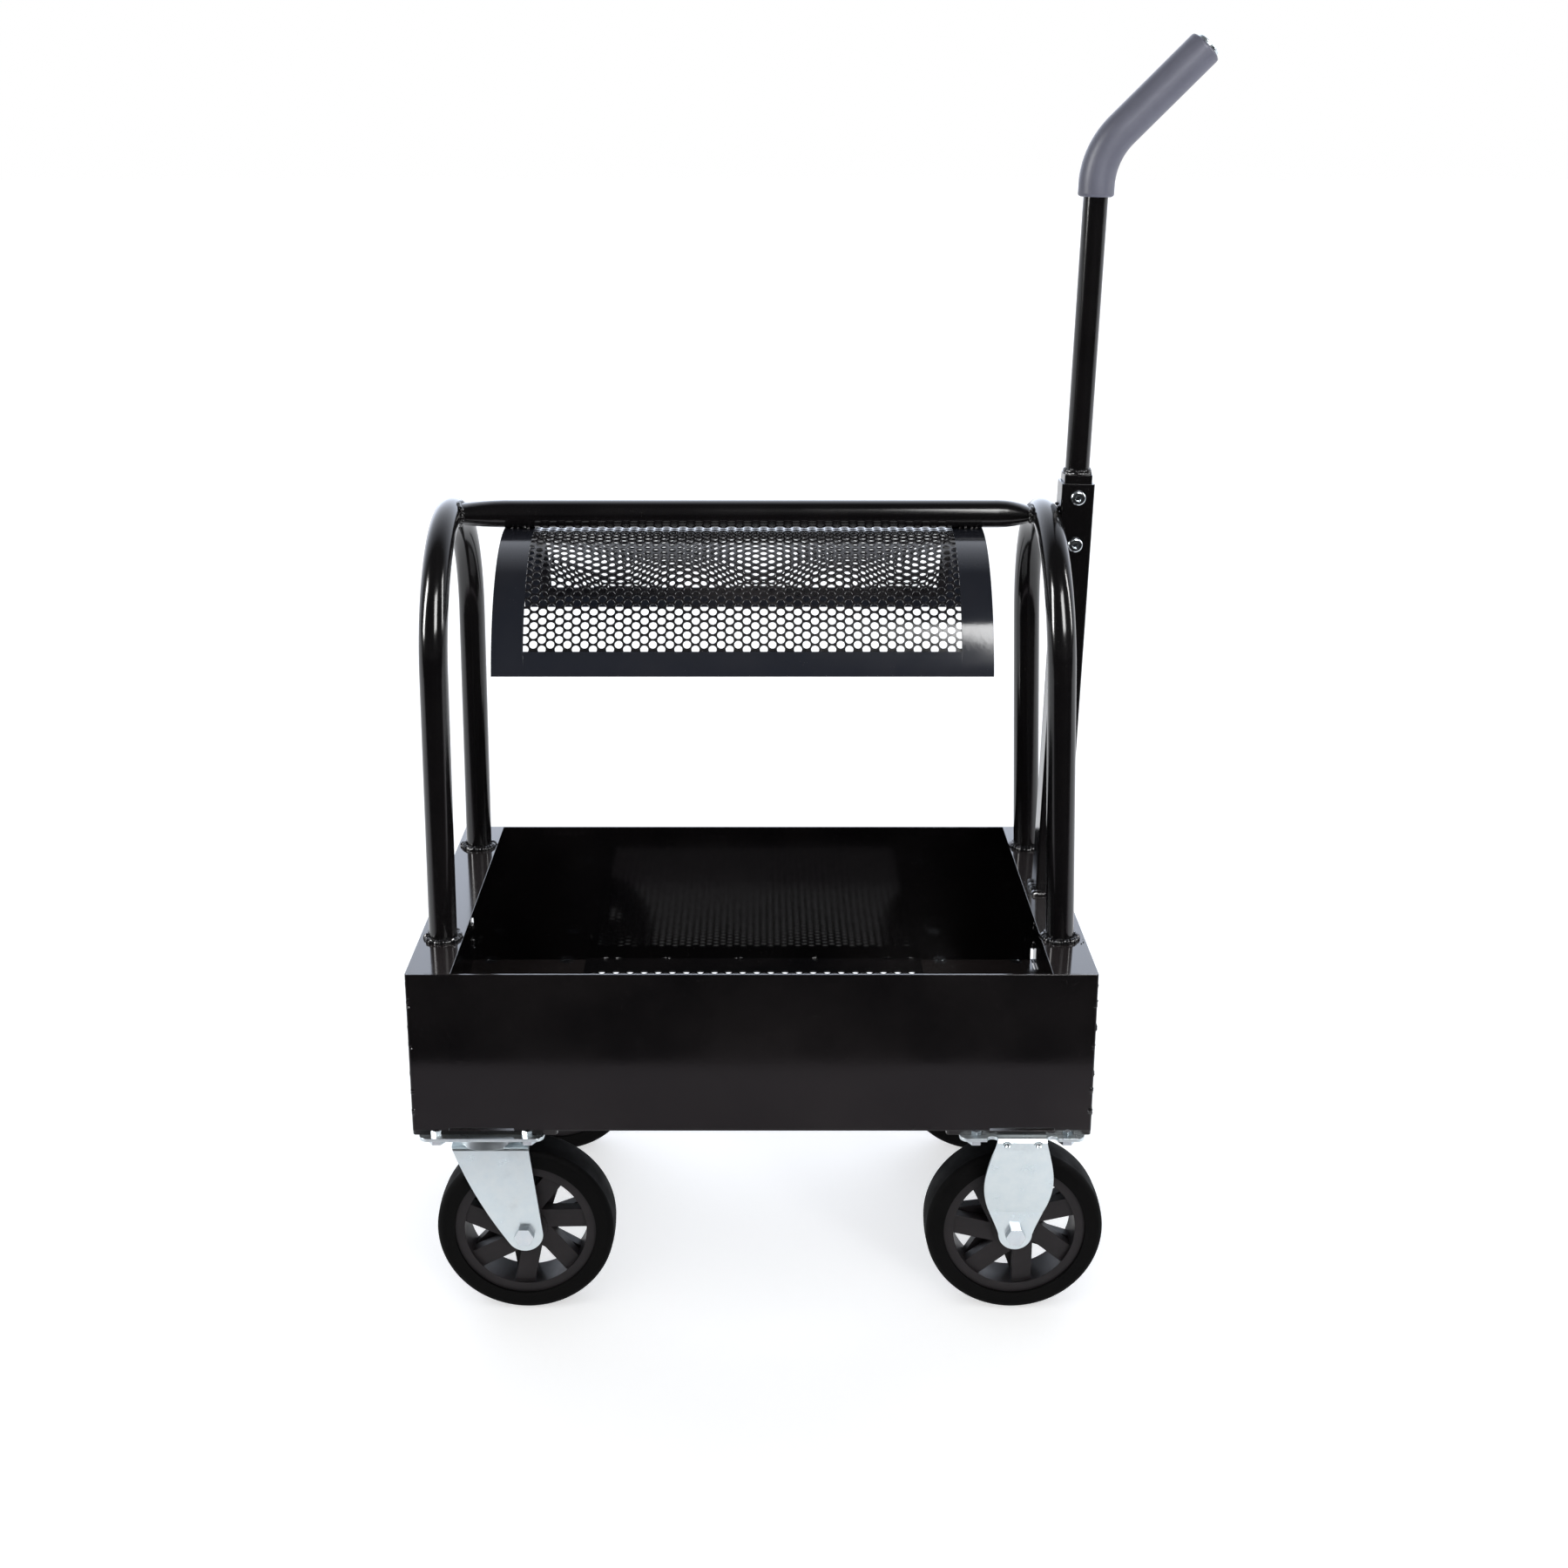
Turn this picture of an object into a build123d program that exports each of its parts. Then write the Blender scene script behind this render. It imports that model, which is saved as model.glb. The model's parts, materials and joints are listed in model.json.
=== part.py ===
from build123d import *
from math import atan, cos, degrees, radians, sin, tan
import os

# Rolling saddle rack: a steel tray on four casters, two hoops, a top bar with a perforated
# saddle sheet, and a pull handle. All sizes are in millimetres, +Z is up and Z = 0 is the
# ground. X runs along the tray towards the handle, Y across it, Y = 0 is the tray's middle.

# --- tray -------------------------------------------------------------------------------
TRAY_LENGTH = 610.0
TRAY_DEPTH = 386.0
TRAY_HEIGHT = 152.0
SHEET = 2.0  # panel thickness
FLANGE_WIDTH = 40.0  # inward flange along the top of each end
FLANGE_BEND = 3.0
CASTER_HEIGHT = 194.0  # ground to the top of a caster plate
END_PLATE_WIDTH = 130.0
END_PLATE = 4.0
NOTCH_WIDTH = 58.0  # shallow relief in the front panel above each caster
NOTCH_HEIGHT = 2.4
FLOOR_SHEET = 1.5
FLOOR_LAP = 6.0  # the floor sheet's lap over each end plate
CORNER_GAP_WIDTH = 3.0  # open lower corner of the rear panel, at the right
CORNER_GAP_HEIGHT = 13.0
SEAM_GAP = 1.5  # open stretches of the welded seams
SEAM_GAP_LENGTH = 26.0  # in the right end plate, in front of the open corner
SIDE_SEAM_GAP_HEIGHT = 9.0  # in the rear panel's left seam
SIDE_SEAM_GAP_MIDDLE = 44.0  # above the tray's bottom

# --- hoops, top bar and saddle sheet ------------------------------------------------------
TUBE_RADIUS = 12.7
TUBE_WALL = 1.6
HOOP_SPREAD = 244.0  # leg centre to leg centre
HOOP_OFFSET_Y = 12.0  # the hoops stand a little behind the tray's middle
HOOP_APEX = 372.0  # tube centre above the tray's top
HOOP_LEFT_FOOT = -283.2
HOOP_RIGHT_FOOT = 282.2
HOOP_LEFT_TOP = -279.2
HOOP_RIGHT_TOP = 269.5
BAR_DROP = 1.0  # the bar's centre line below the hoops' apexes
BAR_END_LEFT = (43.0, 15.0, 9.9)  # squeezed end: its length, half width and half height
BAR_END_RIGHT = (30.0, 16.6, 6.8)
BAR_END_SHOULDER = 0.5  # at half its length a squeezed end has a quarter of its squeeze
SADDLE_RADIUS = 137.5
SADDLE_ANGLE = 77.0  # each side of the crest
SADDLE_LENGTH = 441.0
SADDLE_CENTRE_X = -8.0
STRIP = 2.0
SIDE_STRIP_WIDTH = 28.0
EDGE_STRIP_WIDTH = 22.0
SADDLE_SHEET = 1.5
SADDLE_LAP = 9.0  # the perforated sheet's lap under its border strips
CONTACT_GAP = 0.05  # left between round faces that lie together

# --- pull handle --------------------------------------------------------------------------
STRUT_SIZE = 30.0
STRUT_WALL = 2.0
STRUT_FOOT_X = 289.1
STRUT_TOP = 401.0  # above the tray's top
HANDLE_LEAN = 1.3  # degrees from upright, outwards
INSERT_SIZE = 25.4
INSERT_WALL = 2.0
INSERT_DEPTH = 82.0
INSERT_STANDS = 8.0
HANDLE_BOLT_DROPS = (12.5, 56.0)  # below the strut's top
HANDLE_TUBE_RADIUS = 11.0
HANDLE_CORNER = 692.0  # where the bend's two centre lines meet, above the tray's top
HANDLE_REACH = 126.0  # from that corner to the end of the grip
HANDLE_BEND_RADIUS = 68.0
HANDLE_BEND_ANGLE = 45.0  # the grip's angle from upright
GRIP_RADIUS = 16.0
GRIP_BELOW_CORNER = 37.5
CAP_RADIUS = 12.0
CAP_STANDS = 3.0
CAP_PLUG = 14.0  # how far the cap's plug goes into the tube
BUTTON_RADIUS = 7.0  # domed heads of the handle bolts
BUTTON_HEIGHT = 4.4
BUTTON_ROUNDING = 2.4
SOCKET_RADIUS = 2.5
SOCKET_DEPTH = 2.8
HANDLE_BOLT_PAST = 10.0  # how far the handle bolts stand out of the strut's rear

# --- casters ------------------------------------------------------------------------------
CASTER_X = 243.0
CASTER_Y = 150.0
PLATE_LENGTH = 112.0
PLATE_DEPTH = 102.0
PLATE = 3.0
PLATE_CORNER = 8.0
BOLT_X = 41.0
BOLT_Y = 38.0
BOLT_RADIUS = 4.0  # M8
BOLT_HOLE = 4.25
HEX_RADIUS = 6.5  # half the width across an M8 hexagon's flats
HEAD_HEIGHT = 5.3
HEAD_COLLAR = 1.6
HEAD_COLLAR_RADIUS = 8.0
NUT_HEIGHT = 6.5  # on the handle's bolts; the casters' nuts are as thick as the end plates
BOLT_SHORT = 0.3  # the caster bolts end this far below their nuts' tops
WHEEL_RADIUS = 82.5
RIM_RADIUS = 65.5
TYRE_WIDTH = 40.0
TYRE_SHOULDER = 6.0
TREAD_CROWN = 0.6
RIM_WALL = 9.0
RIM_INSET = 3.0  # the core's rim stands back from the tyre's sides
HUB_INSET = 5.0
HUB_COLLAR = 4.0  # wall of the collar round the bearing
HUB_WIDTH = 44.0
HUB_RADIUS = 20.0
TRAIL = 33.0  # kingpin to axle, sideways
FORK_GAP = 46.0
FORK_SHEET = 3.0
FORK_CROWN = 172.0  # height of the swivel fork's upper face
CROWN_FRONT = 31.0  # the crown's reach from the kingpin, away from the axle
CROWN_BACK = 39.0  # and towards the axle
FORK_END_RADIUS = 17.0
FORK_HEEL_IN = 13.0  # where the ear's hollow edge meets its round end, from the axle
FORK_HEEL_DOWN = 11.0
FORK_WAIST = (-14.0, 130.0)  # a place on the hollow edge
RIGID_END_RADIUS = 15.5
RIGID_EAR_TOP = 22.0  # half width of a rigid fork's ear where it folds down from its plate
RIGID_CREASE = 106.0  # height where the slanting ears turn upright
RIGID_FOLD = 7.0  # the fold's reach in from the plate's edge
RIGID_FOLD_DROP = 12.0  # and down from the plate's top
RIGID_SHOULDER = (23.5, 184.0)  # places on the ear's outline: half width, height
RIGID_WIDEST = (31.3, 142.0)
RIGID_NECK = (26.0, 109.0)
RIGID_DIMPLE_X = 14.0
RIGID_DIMPLE_RADIUS = 4.0
RELIEF_X = 27.0  # round reliefs beside each fold
RELIEF_RADIUS = 5.0
RACE_OUTER = 35.0  # foot of the upper race's slanting flank
RACE_LOWER_OUTER = 30.0
RACE_MOUTH = 28.0  # both races' radius where they face each other
RACE_INNER_STEP = 4.0  # between the kingpin and the lower race
BALL_CIRCLE = 23.0
BALL_RADIUS = 2.7
BALL_COUNT = 18
BALL_GROOVE = 3.0
RACE_GAP = 1.1  # each race ends this far from the middle of the balls
KINGPIN_RADIUS = 6.0
KINGPIN_FOOT = 4.0
KINGPIN_FOOT_RADIUS = 9.5
AXLE_RADIUS = 5.0
AXLE_TUBE_RADIUS = 6.45
AXLE_HEX_RADIUS = 8.0  # half the width across the flats of the head and the nut
AXLE_HEAD = 6.4
AXLE_NUT = 9.0
AXLE_PAST = 2.0  # the bolt's end stands this far out of its nut
BEARING_BORE = 6.5
BEARING_RADIUS = 10.0
RUNNING = 0.05  # radial clearance of running fits
SPOKES = 7
SPOKE_WIDTH = 18.0
SPOKE_SKEW = 9.0  # how far a spoke's centre line passes from the wheel's centre
SPOKE_PHASES = {"left": 258.0, "right": 270.0}  # how the wheels happen to stand
BACK_SPOKE_PHASE = 20.0
SPOKE_START = 4.0  # from the wheel's centre
SPOKE_LAYER = 11.0  # depth of each layer of spokes
SPOKE_LAYER_GAP = 2.0  # between each layer and the wheel's middle

# --- worked-out places --------------------------------------------------------------------
AXLE_Z = WHEEL_RADIUS
TRAY_BOTTOM = CASTER_HEIGHT + END_PLATE
TRAY_TOP = TRAY_BOTTOM + TRAY_HEIGHT
PLATE_BOTTOM = CASTER_HEIGHT - PLATE
RACE_MIDDLE = (FORK_CROWN + PLATE_BOTTOM - 1) / 2
HOOP_RISE = HOOP_APEX - HOOP_SPREAD / 2
BAR_Z = TRAY_TOP + HOOP_APEX - BAR_DROP
SADDLE_CREST = BAR_Z - TUBE_RADIUS - CONTACT_GAP

handle_slope = tan(radians(HANDLE_LEAN))
corner_x = STRUT_FOOT_X + HANDLE_CORNER * handle_slope
grip_end_x = corner_x + HANDLE_REACH * sin(radians(HANDLE_BEND_ANGLE))
reach_right = grip_end_x + GRIP_RADIUS * cos(radians(HANDLE_BEND_ANGLE))
TRAY_X = (TRAY_LENGTH / 2 - reach_right) / 2  # centres the whole rack's length on X = 0

os.makedirs("parts", exist_ok=True)


def save(builder, label):
    builder.part.label = label
    export_step(builder.part, f"parts/{label}.step")


def local(x, y, z=0.0):
    """A level plane at a place measured from the tray's middle."""
    return Plane(origin=(TRAY_X + x, y, z))


def front_plane(x, y, z=0.0):
    """An upright plane that faces the front: its x is X, its y is Z, and it extrudes to -Y."""
    return Plane(origin=(TRAY_X + x, y, z), x_dir=(1, 0, 0), z_dir=(0, -1, 0))


def side_plane(x, y=0.0, z=0.0):
    """An upright plane across the tray: its x is Y, its y is Z, and it extrudes to +X."""
    return Plane(origin=(TRAY_X + x, y, z), x_dir=(0, 1, 0), z_dir=(1, 0, 0))


# === tray ===================================================================================
for side, label in ((-1, "front_panel"), (1, "rear_panel")):
    outer_y = side * TRAY_DEPTH / 2
    with BuildPart() as panel:
        with BuildSketch(front_plane(0, max(outer_y, outer_y - side * SHEET))):
            with Locations((0, TRAY_BOTTOM + TRAY_HEIGHT / 2)):
                Rectangle(TRAY_LENGTH, TRAY_HEIGHT)
            if side < 0:
                with Locations((-CASTER_X, TRAY_BOTTOM), (CASTER_X, TRAY_BOTTOM)):
                    Rectangle(NOTCH_WIDTH, 2 * NOTCH_HEIGHT, mode=Mode.SUBTRACT)
            else:
                with Locations((TRAY_LENGTH / 2 - SHEET - CORNER_GAP_WIDTH / 2, TRAY_BOTTOM)):
                    Rectangle(CORNER_GAP_WIDTH, 2 * CORNER_GAP_HEIGHT, mode=Mode.SUBTRACT)
                with Locations((SHEET + SEAM_GAP / 2 - TRAY_LENGTH / 2,
                                TRAY_BOTTOM + SIDE_SEAM_GAP_MIDDLE)):
                    Rectangle(SEAM_GAP, SIDE_SEAM_GAP_HEIGHT, mode=Mode.SUBTRACT)
        extrude(amount=SHEET)
        upright = panel.edges().filter_by(Axis.Z)
        fillet(upright.filter_by(lambda e: abs(abs(e.center().X - TRAY_X) - TRAY_LENGTH / 2) < 0.1
                                 and abs(e.center().Y - outer_y) < 0.1), SHEET * 0.8)
    save(panel, label)

inner_depth = TRAY_DEPTH - 2 * SHEET
for side, label in ((-1, "left_end_channel"), (1, "right_end_channel")):
    outer_x = side * TRAY_LENGTH / 2
    with BuildPart() as channel:
        with BuildSketch(front_plane(0, inner_depth / 2)) as channel_profile:
            with Locations((outer_x - side * SHEET / 2, TRAY_BOTTOM + TRAY_HEIGHT / 2)):
                Rectangle(SHEET, TRAY_HEIGHT)
            with Locations((outer_x - side * FLANGE_WIDTH / 2, TRAY_TOP - SHEET / 2)):
                Rectangle(FLANGE_WIDTH, SHEET)
            corners = channel_profile.vertices().filter_by(
                lambda v: abs(v.X - TRAY_X - outer_x) < 0.1 and abs(v.Z - TRAY_TOP) < 0.1)
            fillet(corners, FLANGE_BEND)
        extrude(amount=inner_depth)
    save(channel, label)

bolt_places = [(sx * BOLT_X, sy * BOLT_Y) for sx in (-1, 1) for sy in (-1, 1)]
for side, label in ((-1, "left_end_plate"), (1, "right_end_plate")):
    middle_x = side * (TRAY_LENGTH - END_PLATE_WIDTH) / 2
    with BuildPart() as end_plate:
        with BuildSketch(local(middle_x, 0, CASTER_HEIGHT)):
            RectangleRounded(END_PLATE_WIDTH, TRAY_DEPTH, 3.0)
            for caster_y in (-CASTER_Y, CASTER_Y):
                with Locations((side * CASTER_X - middle_x, caster_y)):
                    with Locations(*bolt_places):
                        RegularPolygon(HEX_RADIUS + CONTACT_GAP, 6, major_radius=False, rotation=30,
                                       mode=Mode.SUBTRACT)
            if side > 0:
                with Locations(((END_PLATE_WIDTH - CORNER_GAP_WIDTH) / 2 - SHEET,
                                (inner_depth - SEAM_GAP_LENGTH) / 2)):
                    Rectangle(SEAM_GAP, SEAM_GAP_LENGTH, mode=Mode.SUBTRACT)
        extrude(amount=END_PLATE)
    save(end_plate, label)

floor_length = TRAY_LENGTH - 2 * END_PLATE_WIDTH + 2 * FLOOR_LAP
with BuildPart() as floor_mesh:
    with BuildSketch(local(0, 0, TRAY_BOTTOM)):
        Rectangle(floor_length, inner_depth)
    extrude(amount=FLOOR_SHEET)
save(floor_mesh, "floor_mesh")

# === hoops and top bar ========================================================================
hoop_shapes = {}
for foot_x, top_x, label in ((HOOP_LEFT_FOOT, HOOP_LEFT_TOP, "left_hoop"),
                             (HOOP_RIGHT_FOOT, HOOP_RIGHT_TOP, "right_hoop")):
    lean = atan((top_x - foot_x) / HOOP_APEX)
    hoop_plane = Plane(origin=(TRAY_X + foot_x, HOOP_OFFSET_Y, TRAY_TOP),
                       x_dir=(0, 1, 0), z_dir=(cos(lean), 0, -sin(lean)))
    half = HOOP_SPREAD / 2
    for shape in ("whole", "tube"):
        with BuildPart() as hoop:
            with BuildLine(hoop_plane) as centre_line:
                Line((-half, -10), (-half, HOOP_RISE))
                ThreePointArc((-half, HOOP_RISE), (0, HOOP_RISE + half), (half, HOOP_RISE))
                Line((half, HOOP_RISE), (half, -10))
            with BuildSketch(Plane(origin=centre_line.line @ 0, z_dir=centre_line.line % 0)):
                Circle(TUBE_RADIUS)
                if shape == "tube":
                    Circle(TUBE_RADIUS - TUBE_WALL, mode=Mode.SUBTRACT)
            sweep()
            split(bisect_by=Plane.XY.offset(TRAY_TOP), keep=Keep.TOP)
        if shape == "whole":
            hoop_shapes[label] = hoop.part
    save(hoop, label)

bar_ends = ((HOOP_LEFT_TOP, 1, BAR_END_LEFT), (HOOP_RIGHT_TOP, -1, BAR_END_RIGHT))


def bar_solid(wall):
    """The bar's round middle with its two squeezed ends, shrunk by a wall all round."""
    starts = [hoop_x + inward * (TUBE_RADIUS + end[0]) for hoop_x, inward, end in bar_ends]
    with BuildPart() as solid:
        with BuildSketch(side_plane(starts[0], HOOP_OFFSET_Y, BAR_Z)):
            Circle(TUBE_RADIUS - wall)
        extrude(amount=starts[1] - starts[0])
        for start, (hoop_x, inward, end) in zip(starts, bar_ends):
            shoulder = start - inward * end[0] * BAR_END_SHOULDER
            shoulder_width = TUBE_RADIUS + (end[1] - TUBE_RADIUS) / 4
            shoulder_height = TUBE_RADIUS + (end[2] - TUBE_RADIUS) / 4
            with BuildSketch(side_plane(start, HOOP_OFFSET_Y, BAR_Z)):
                Circle(TUBE_RADIUS - wall)
            with BuildSketch(side_plane(shoulder, HOOP_OFFSET_Y, BAR_Z)):
                Ellipse(shoulder_width - wall, shoulder_height - wall)
            with BuildSketch(side_plane(hoop_x + inward * TUBE_RADIUS, HOOP_OFFSET_Y, BAR_Z)):
                Ellipse(end[1] - wall, end[2] - wall)
            loft()
            with BuildSketch(side_plane(min(hoop_x, hoop_x + inward * TUBE_RADIUS), HOOP_OFFSET_Y, BAR_Z)):
                Ellipse(end[1] - wall, end[2] - wall)
            extrude(amount=TUBE_RADIUS)
    return solid.part


with BuildPart() as top_bar:
    add(bar_solid(0.0))
    add(hoop_shapes["left_hoop"], mode=Mode.SUBTRACT)
    add(hoop_shapes["right_hoop"], mode=Mode.SUBTRACT)
    add(bar_solid(TUBE_WALL), mode=Mode.SUBTRACT)
save(top_bar, "top_bar")


# === saddle sheet =============================================================================
def curved_strip(label, start_x, length, outer, thickness, angle_from, angle_to):
    """A strip bent round the saddle's axis, between two angles from the crest (+ is rear)."""
    inner = outer - thickness
    middle = (angle_from + angle_to) / 2

    def spot(radius, angle):
        return (radius * sin(radians(angle)), radius * cos(radians(angle)))

    with BuildPart() as strip:
        with BuildSketch(side_plane(start_x, HOOP_OFFSET_Y, SADDLE_CREST - SADDLE_RADIUS)):
            with BuildLine():
                ThreePointArc(spot(outer, angle_from), spot(outer, middle), spot(outer, angle_to))
                Line(spot(outer, angle_to), spot(inner, angle_to))
                ThreePointArc(spot(inner, angle_to), spot(inner, middle), spot(inner, angle_from))
                Line(spot(inner, angle_from), spot(outer, angle_from))
            make_face()
        extrude(amount=length)
    save(strip, label)


saddle_left = SADDLE_CENTRE_X - SADDLE_LENGTH / 2
saddle_inner_length = SADDLE_LENGTH - 2 * SIDE_STRIP_WIDTH
edge_strip_angle = degrees(EDGE_STRIP_WIDTH / SADDLE_RADIUS)
curved_strip("saddle_left_strip", saddle_left, SIDE_STRIP_WIDTH,
             SADDLE_RADIUS, STRIP, -SADDLE_ANGLE, SADDLE_ANGLE)
curved_strip("saddle_right_strip", saddle_left + SADDLE_LENGTH - SIDE_STRIP_WIDTH, SIDE_STRIP_WIDTH,
             SADDLE_RADIUS, STRIP, -SADDLE_ANGLE, SADDLE_ANGLE)
curved_strip("saddle_front_strip", saddle_left + SIDE_STRIP_WIDTH, saddle_inner_length,
             SADDLE_RADIUS, STRIP, -SADDLE_ANGLE, edge_strip_angle - SADDLE_ANGLE)
curved_strip("saddle_rear_strip", saddle_left + SIDE_STRIP_WIDTH, saddle_inner_length,
             SADDLE_RADIUS, STRIP, SADDLE_ANGLE - edge_strip_angle, SADDLE_ANGLE)
mesh_angle = SADDLE_ANGLE - degrees((EDGE_STRIP_WIDTH - SADDLE_LAP) / SADDLE_RADIUS)
curved_strip("saddle_mesh", saddle_left + SIDE_STRIP_WIDTH - SADDLE_LAP,
             saddle_inner_length + 2 * SADDLE_LAP,
             SADDLE_RADIUS - STRIP - CONTACT_GAP, SADDLE_SHEET, -mesh_angle, mesh_angle)

# === pull handle ==============================================================================
handle_up = (sin(radians(HANDLE_LEAN)), 0, cos(radians(HANDLE_LEAN)))
handle_foot = (TRAY_X + STRUT_FOOT_X, HOOP_OFFSET_Y, TRAY_TOP)
handle_axis = Plane(origin=handle_foot, x_dir=(0, 1, 0), z_dir=handle_up)
handle_front = Plane(origin=handle_foot, x_dir=(cos(radians(HANDLE_LEAN)), 0, -sin(radians(HANDLE_LEAN))),
                     z_dir=(0, -1, 0))
strut_length = STRUT_TOP / cos(radians(HANDLE_LEAN))
handle_bolt_places = [(0, strut_length - drop) for drop in HANDLE_BOLT_DROPS]

with BuildPart() as handle_strut:
    with BuildSketch(handle_axis.offset(-5)):
        RectangleRounded(STRUT_SIZE, STRUT_SIZE, 2.0)
        Rectangle(STRUT_SIZE - 2 * STRUT_WALL, STRUT_SIZE - 2 * STRUT_WALL, mode=Mode.SUBTRACT)
    extrude(amount=strut_length + 5)
    split(bisect_by=Plane.XY.offset(TRAY_TOP), keep=Keep.TOP)
    with BuildSketch(handle_front):
        with Locations(*handle_bolt_places):
            Circle(BOLT_HOLE)
    extrude(amount=STRUT_SIZE, both=True, mode=Mode.SUBTRACT)
save(handle_strut, "handle_strut")

with BuildPart() as handle_insert:
    with BuildSketch(handle_axis.offset(strut_length - INSERT_DEPTH)):
        RectangleRounded(INSERT_SIZE, INSERT_SIZE, 2.0)
        Rectangle(INSERT_SIZE - 2 * INSERT_WALL, INSERT_SIZE - 2 * INSERT_WALL, mode=Mode.SUBTRACT)
    extrude(amount=INSERT_DEPTH + INSERT_STANDS)
    with BuildSketch(handle_axis.offset(strut_length + INSERT_STANDS - 3)):
        Rectangle(INSERT_SIZE - 2 * INSERT_WALL, INSERT_SIZE - 2 * INSERT_WALL)
    extrude(amount=3)
    with BuildSketch(handle_front):
        with Locations(*handle_bolt_places):
            Circle(BOLT_HOLE)
    extrude(amount=STRUT_SIZE, both=True, mode=Mode.SUBTRACT)
save(handle_insert, "handle_insert")

corner_up = HANDLE_CORNER / cos(radians(HANDLE_LEAN))
bend_turn = radians(HANDLE_BEND_ANGLE - HANDLE_LEAN)
tube_start = (0, strut_length + INSERT_STANDS)
grip_start = (0, corner_up - GRIP_BELOW_CORNER)
grip_end = (HANDLE_REACH * sin(bend_turn), corner_up + HANDLE_REACH * cos(bend_turn))


def bent_sleeve(label, start, outer, inner):
    """A round sleeve that follows the handle from a start to the grip's end."""
    with BuildPart() as sleeve:
        with BuildLine(handle_front) as route:
            FilletPolyline(start, (0, corner_up), grip_end, radius=HANDLE_BEND_RADIUS)
        with BuildSketch(Plane(origin=route.line @ 0, z_dir=route.line % 0)):
            Circle(outer)
            Circle(inner, mode=Mode.SUBTRACT)
        sweep()
    save(sleeve, label)
    return route.line


handle_route = bent_sleeve("handle_tube", tube_start, HANDLE_TUBE_RADIUS, HANDLE_TUBE_RADIUS - 2)
bent_sleeve("handle_grip", grip_start, GRIP_RADIUS, HANDLE_TUBE_RADIUS + CONTACT_GAP)

with BuildPart() as handle_end_cap:
    with BuildSketch(Plane(origin=handle_route @ 1, z_dir=handle_route % 1)):
        Circle(CAP_RADIUS)
    extrude(amount=CAP_STANDS)
    fillet(handle_end_cap.edges().sort_by(Axis((0, 0, 0), tuple(handle_route % 1)))[-1], 1.2)
    with BuildSketch(Plane(origin=handle_route @ 1, z_dir=handle_route % 1)):
        Circle(HANDLE_TUBE_RADIUS - 2 - CONTACT_GAP)
    extrude(amount=-CAP_PLUG)
save(handle_end_cap, "handle_end_cap")

with BuildPart() as handle_bolts:
    with BuildSketch(handle_front.offset(STRUT_SIZE / 2)):
        with Locations(*handle_bolt_places):
            Circle(BUTTON_RADIUS)
    extrude(amount=BUTTON_HEIGHT)
    fillet(handle_bolts.edges().filter_by(GeomType.CIRCLE).group_by(Axis.Y)[0], BUTTON_ROUNDING)
    with BuildSketch(handle_front.offset(STRUT_SIZE / 2 + BUTTON_HEIGHT)):
        with Locations(*handle_bolt_places):
            RegularPolygon(SOCKET_RADIUS, 6, major_radius=False)
    extrude(amount=-SOCKET_DEPTH, mode=Mode.SUBTRACT)
    with BuildSketch(handle_front.offset(STRUT_SIZE / 2)):
        with Locations(*handle_bolt_places):
            Circle(BOLT_RADIUS)
    extrude(amount=-(STRUT_SIZE + HANDLE_BOLT_PAST))
save(handle_bolts, "handle_bolts")

with BuildPart() as handle_nuts:
    with BuildSketch(handle_front.offset(-STRUT_SIZE / 2)):
        with Locations(*handle_bolt_places):
            RegularPolygon(HEX_RADIUS, 6, major_radius=False)
            Circle(BOLT_RADIUS + CONTACT_GAP, mode=Mode.SUBTRACT)
    extrude(amount=-NUT_HEIGHT)
save(handle_nuts, "handle_nuts")

# === caster fasteners =========================================================================
caster_places = [(sx * CASTER_X, sy * CASTER_Y) for sx in (-1, 1) for sy in (-1, 1)]
with BuildPart() as caster_bolts:
    with BuildSketch(local(0, 0, PLATE_BOTTOM)):
        with Locations(*caster_places):
            with Locations(*bolt_places):
                Circle(HEAD_COLLAR_RADIUS)
    extrude(amount=-HEAD_COLLAR)
    with BuildSketch(local(0, 0, PLATE_BOTTOM - HEAD_COLLAR)):
        with Locations(*caster_places):
            with Locations(*bolt_places):
                RegularPolygon(HEX_RADIUS, 6, major_radius=False)
    extrude(amount=-HEAD_HEIGHT)
    with BuildSketch(local(0, 0, PLATE_BOTTOM)):
        with Locations(*caster_places):
            with Locations(*bolt_places):
                Circle(BOLT_RADIUS)
    extrude(amount=PLATE + END_PLATE - BOLT_SHORT)
save(caster_bolts, "caster_bolts")

with BuildPart() as caster_nuts:
    with BuildSketch(local(0, 0, CASTER_HEIGHT)):
        with Locations(*caster_places):
            with Locations(*bolt_places):
                RegularPolygon(HEX_RADIUS, 6, major_radius=False, rotation=30)
                Circle(BOLT_RADIUS + CONTACT_GAP, mode=Mode.SUBTRACT)
    extrude(amount=END_PLATE)
save(caster_nuts, "caster_nuts")


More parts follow.
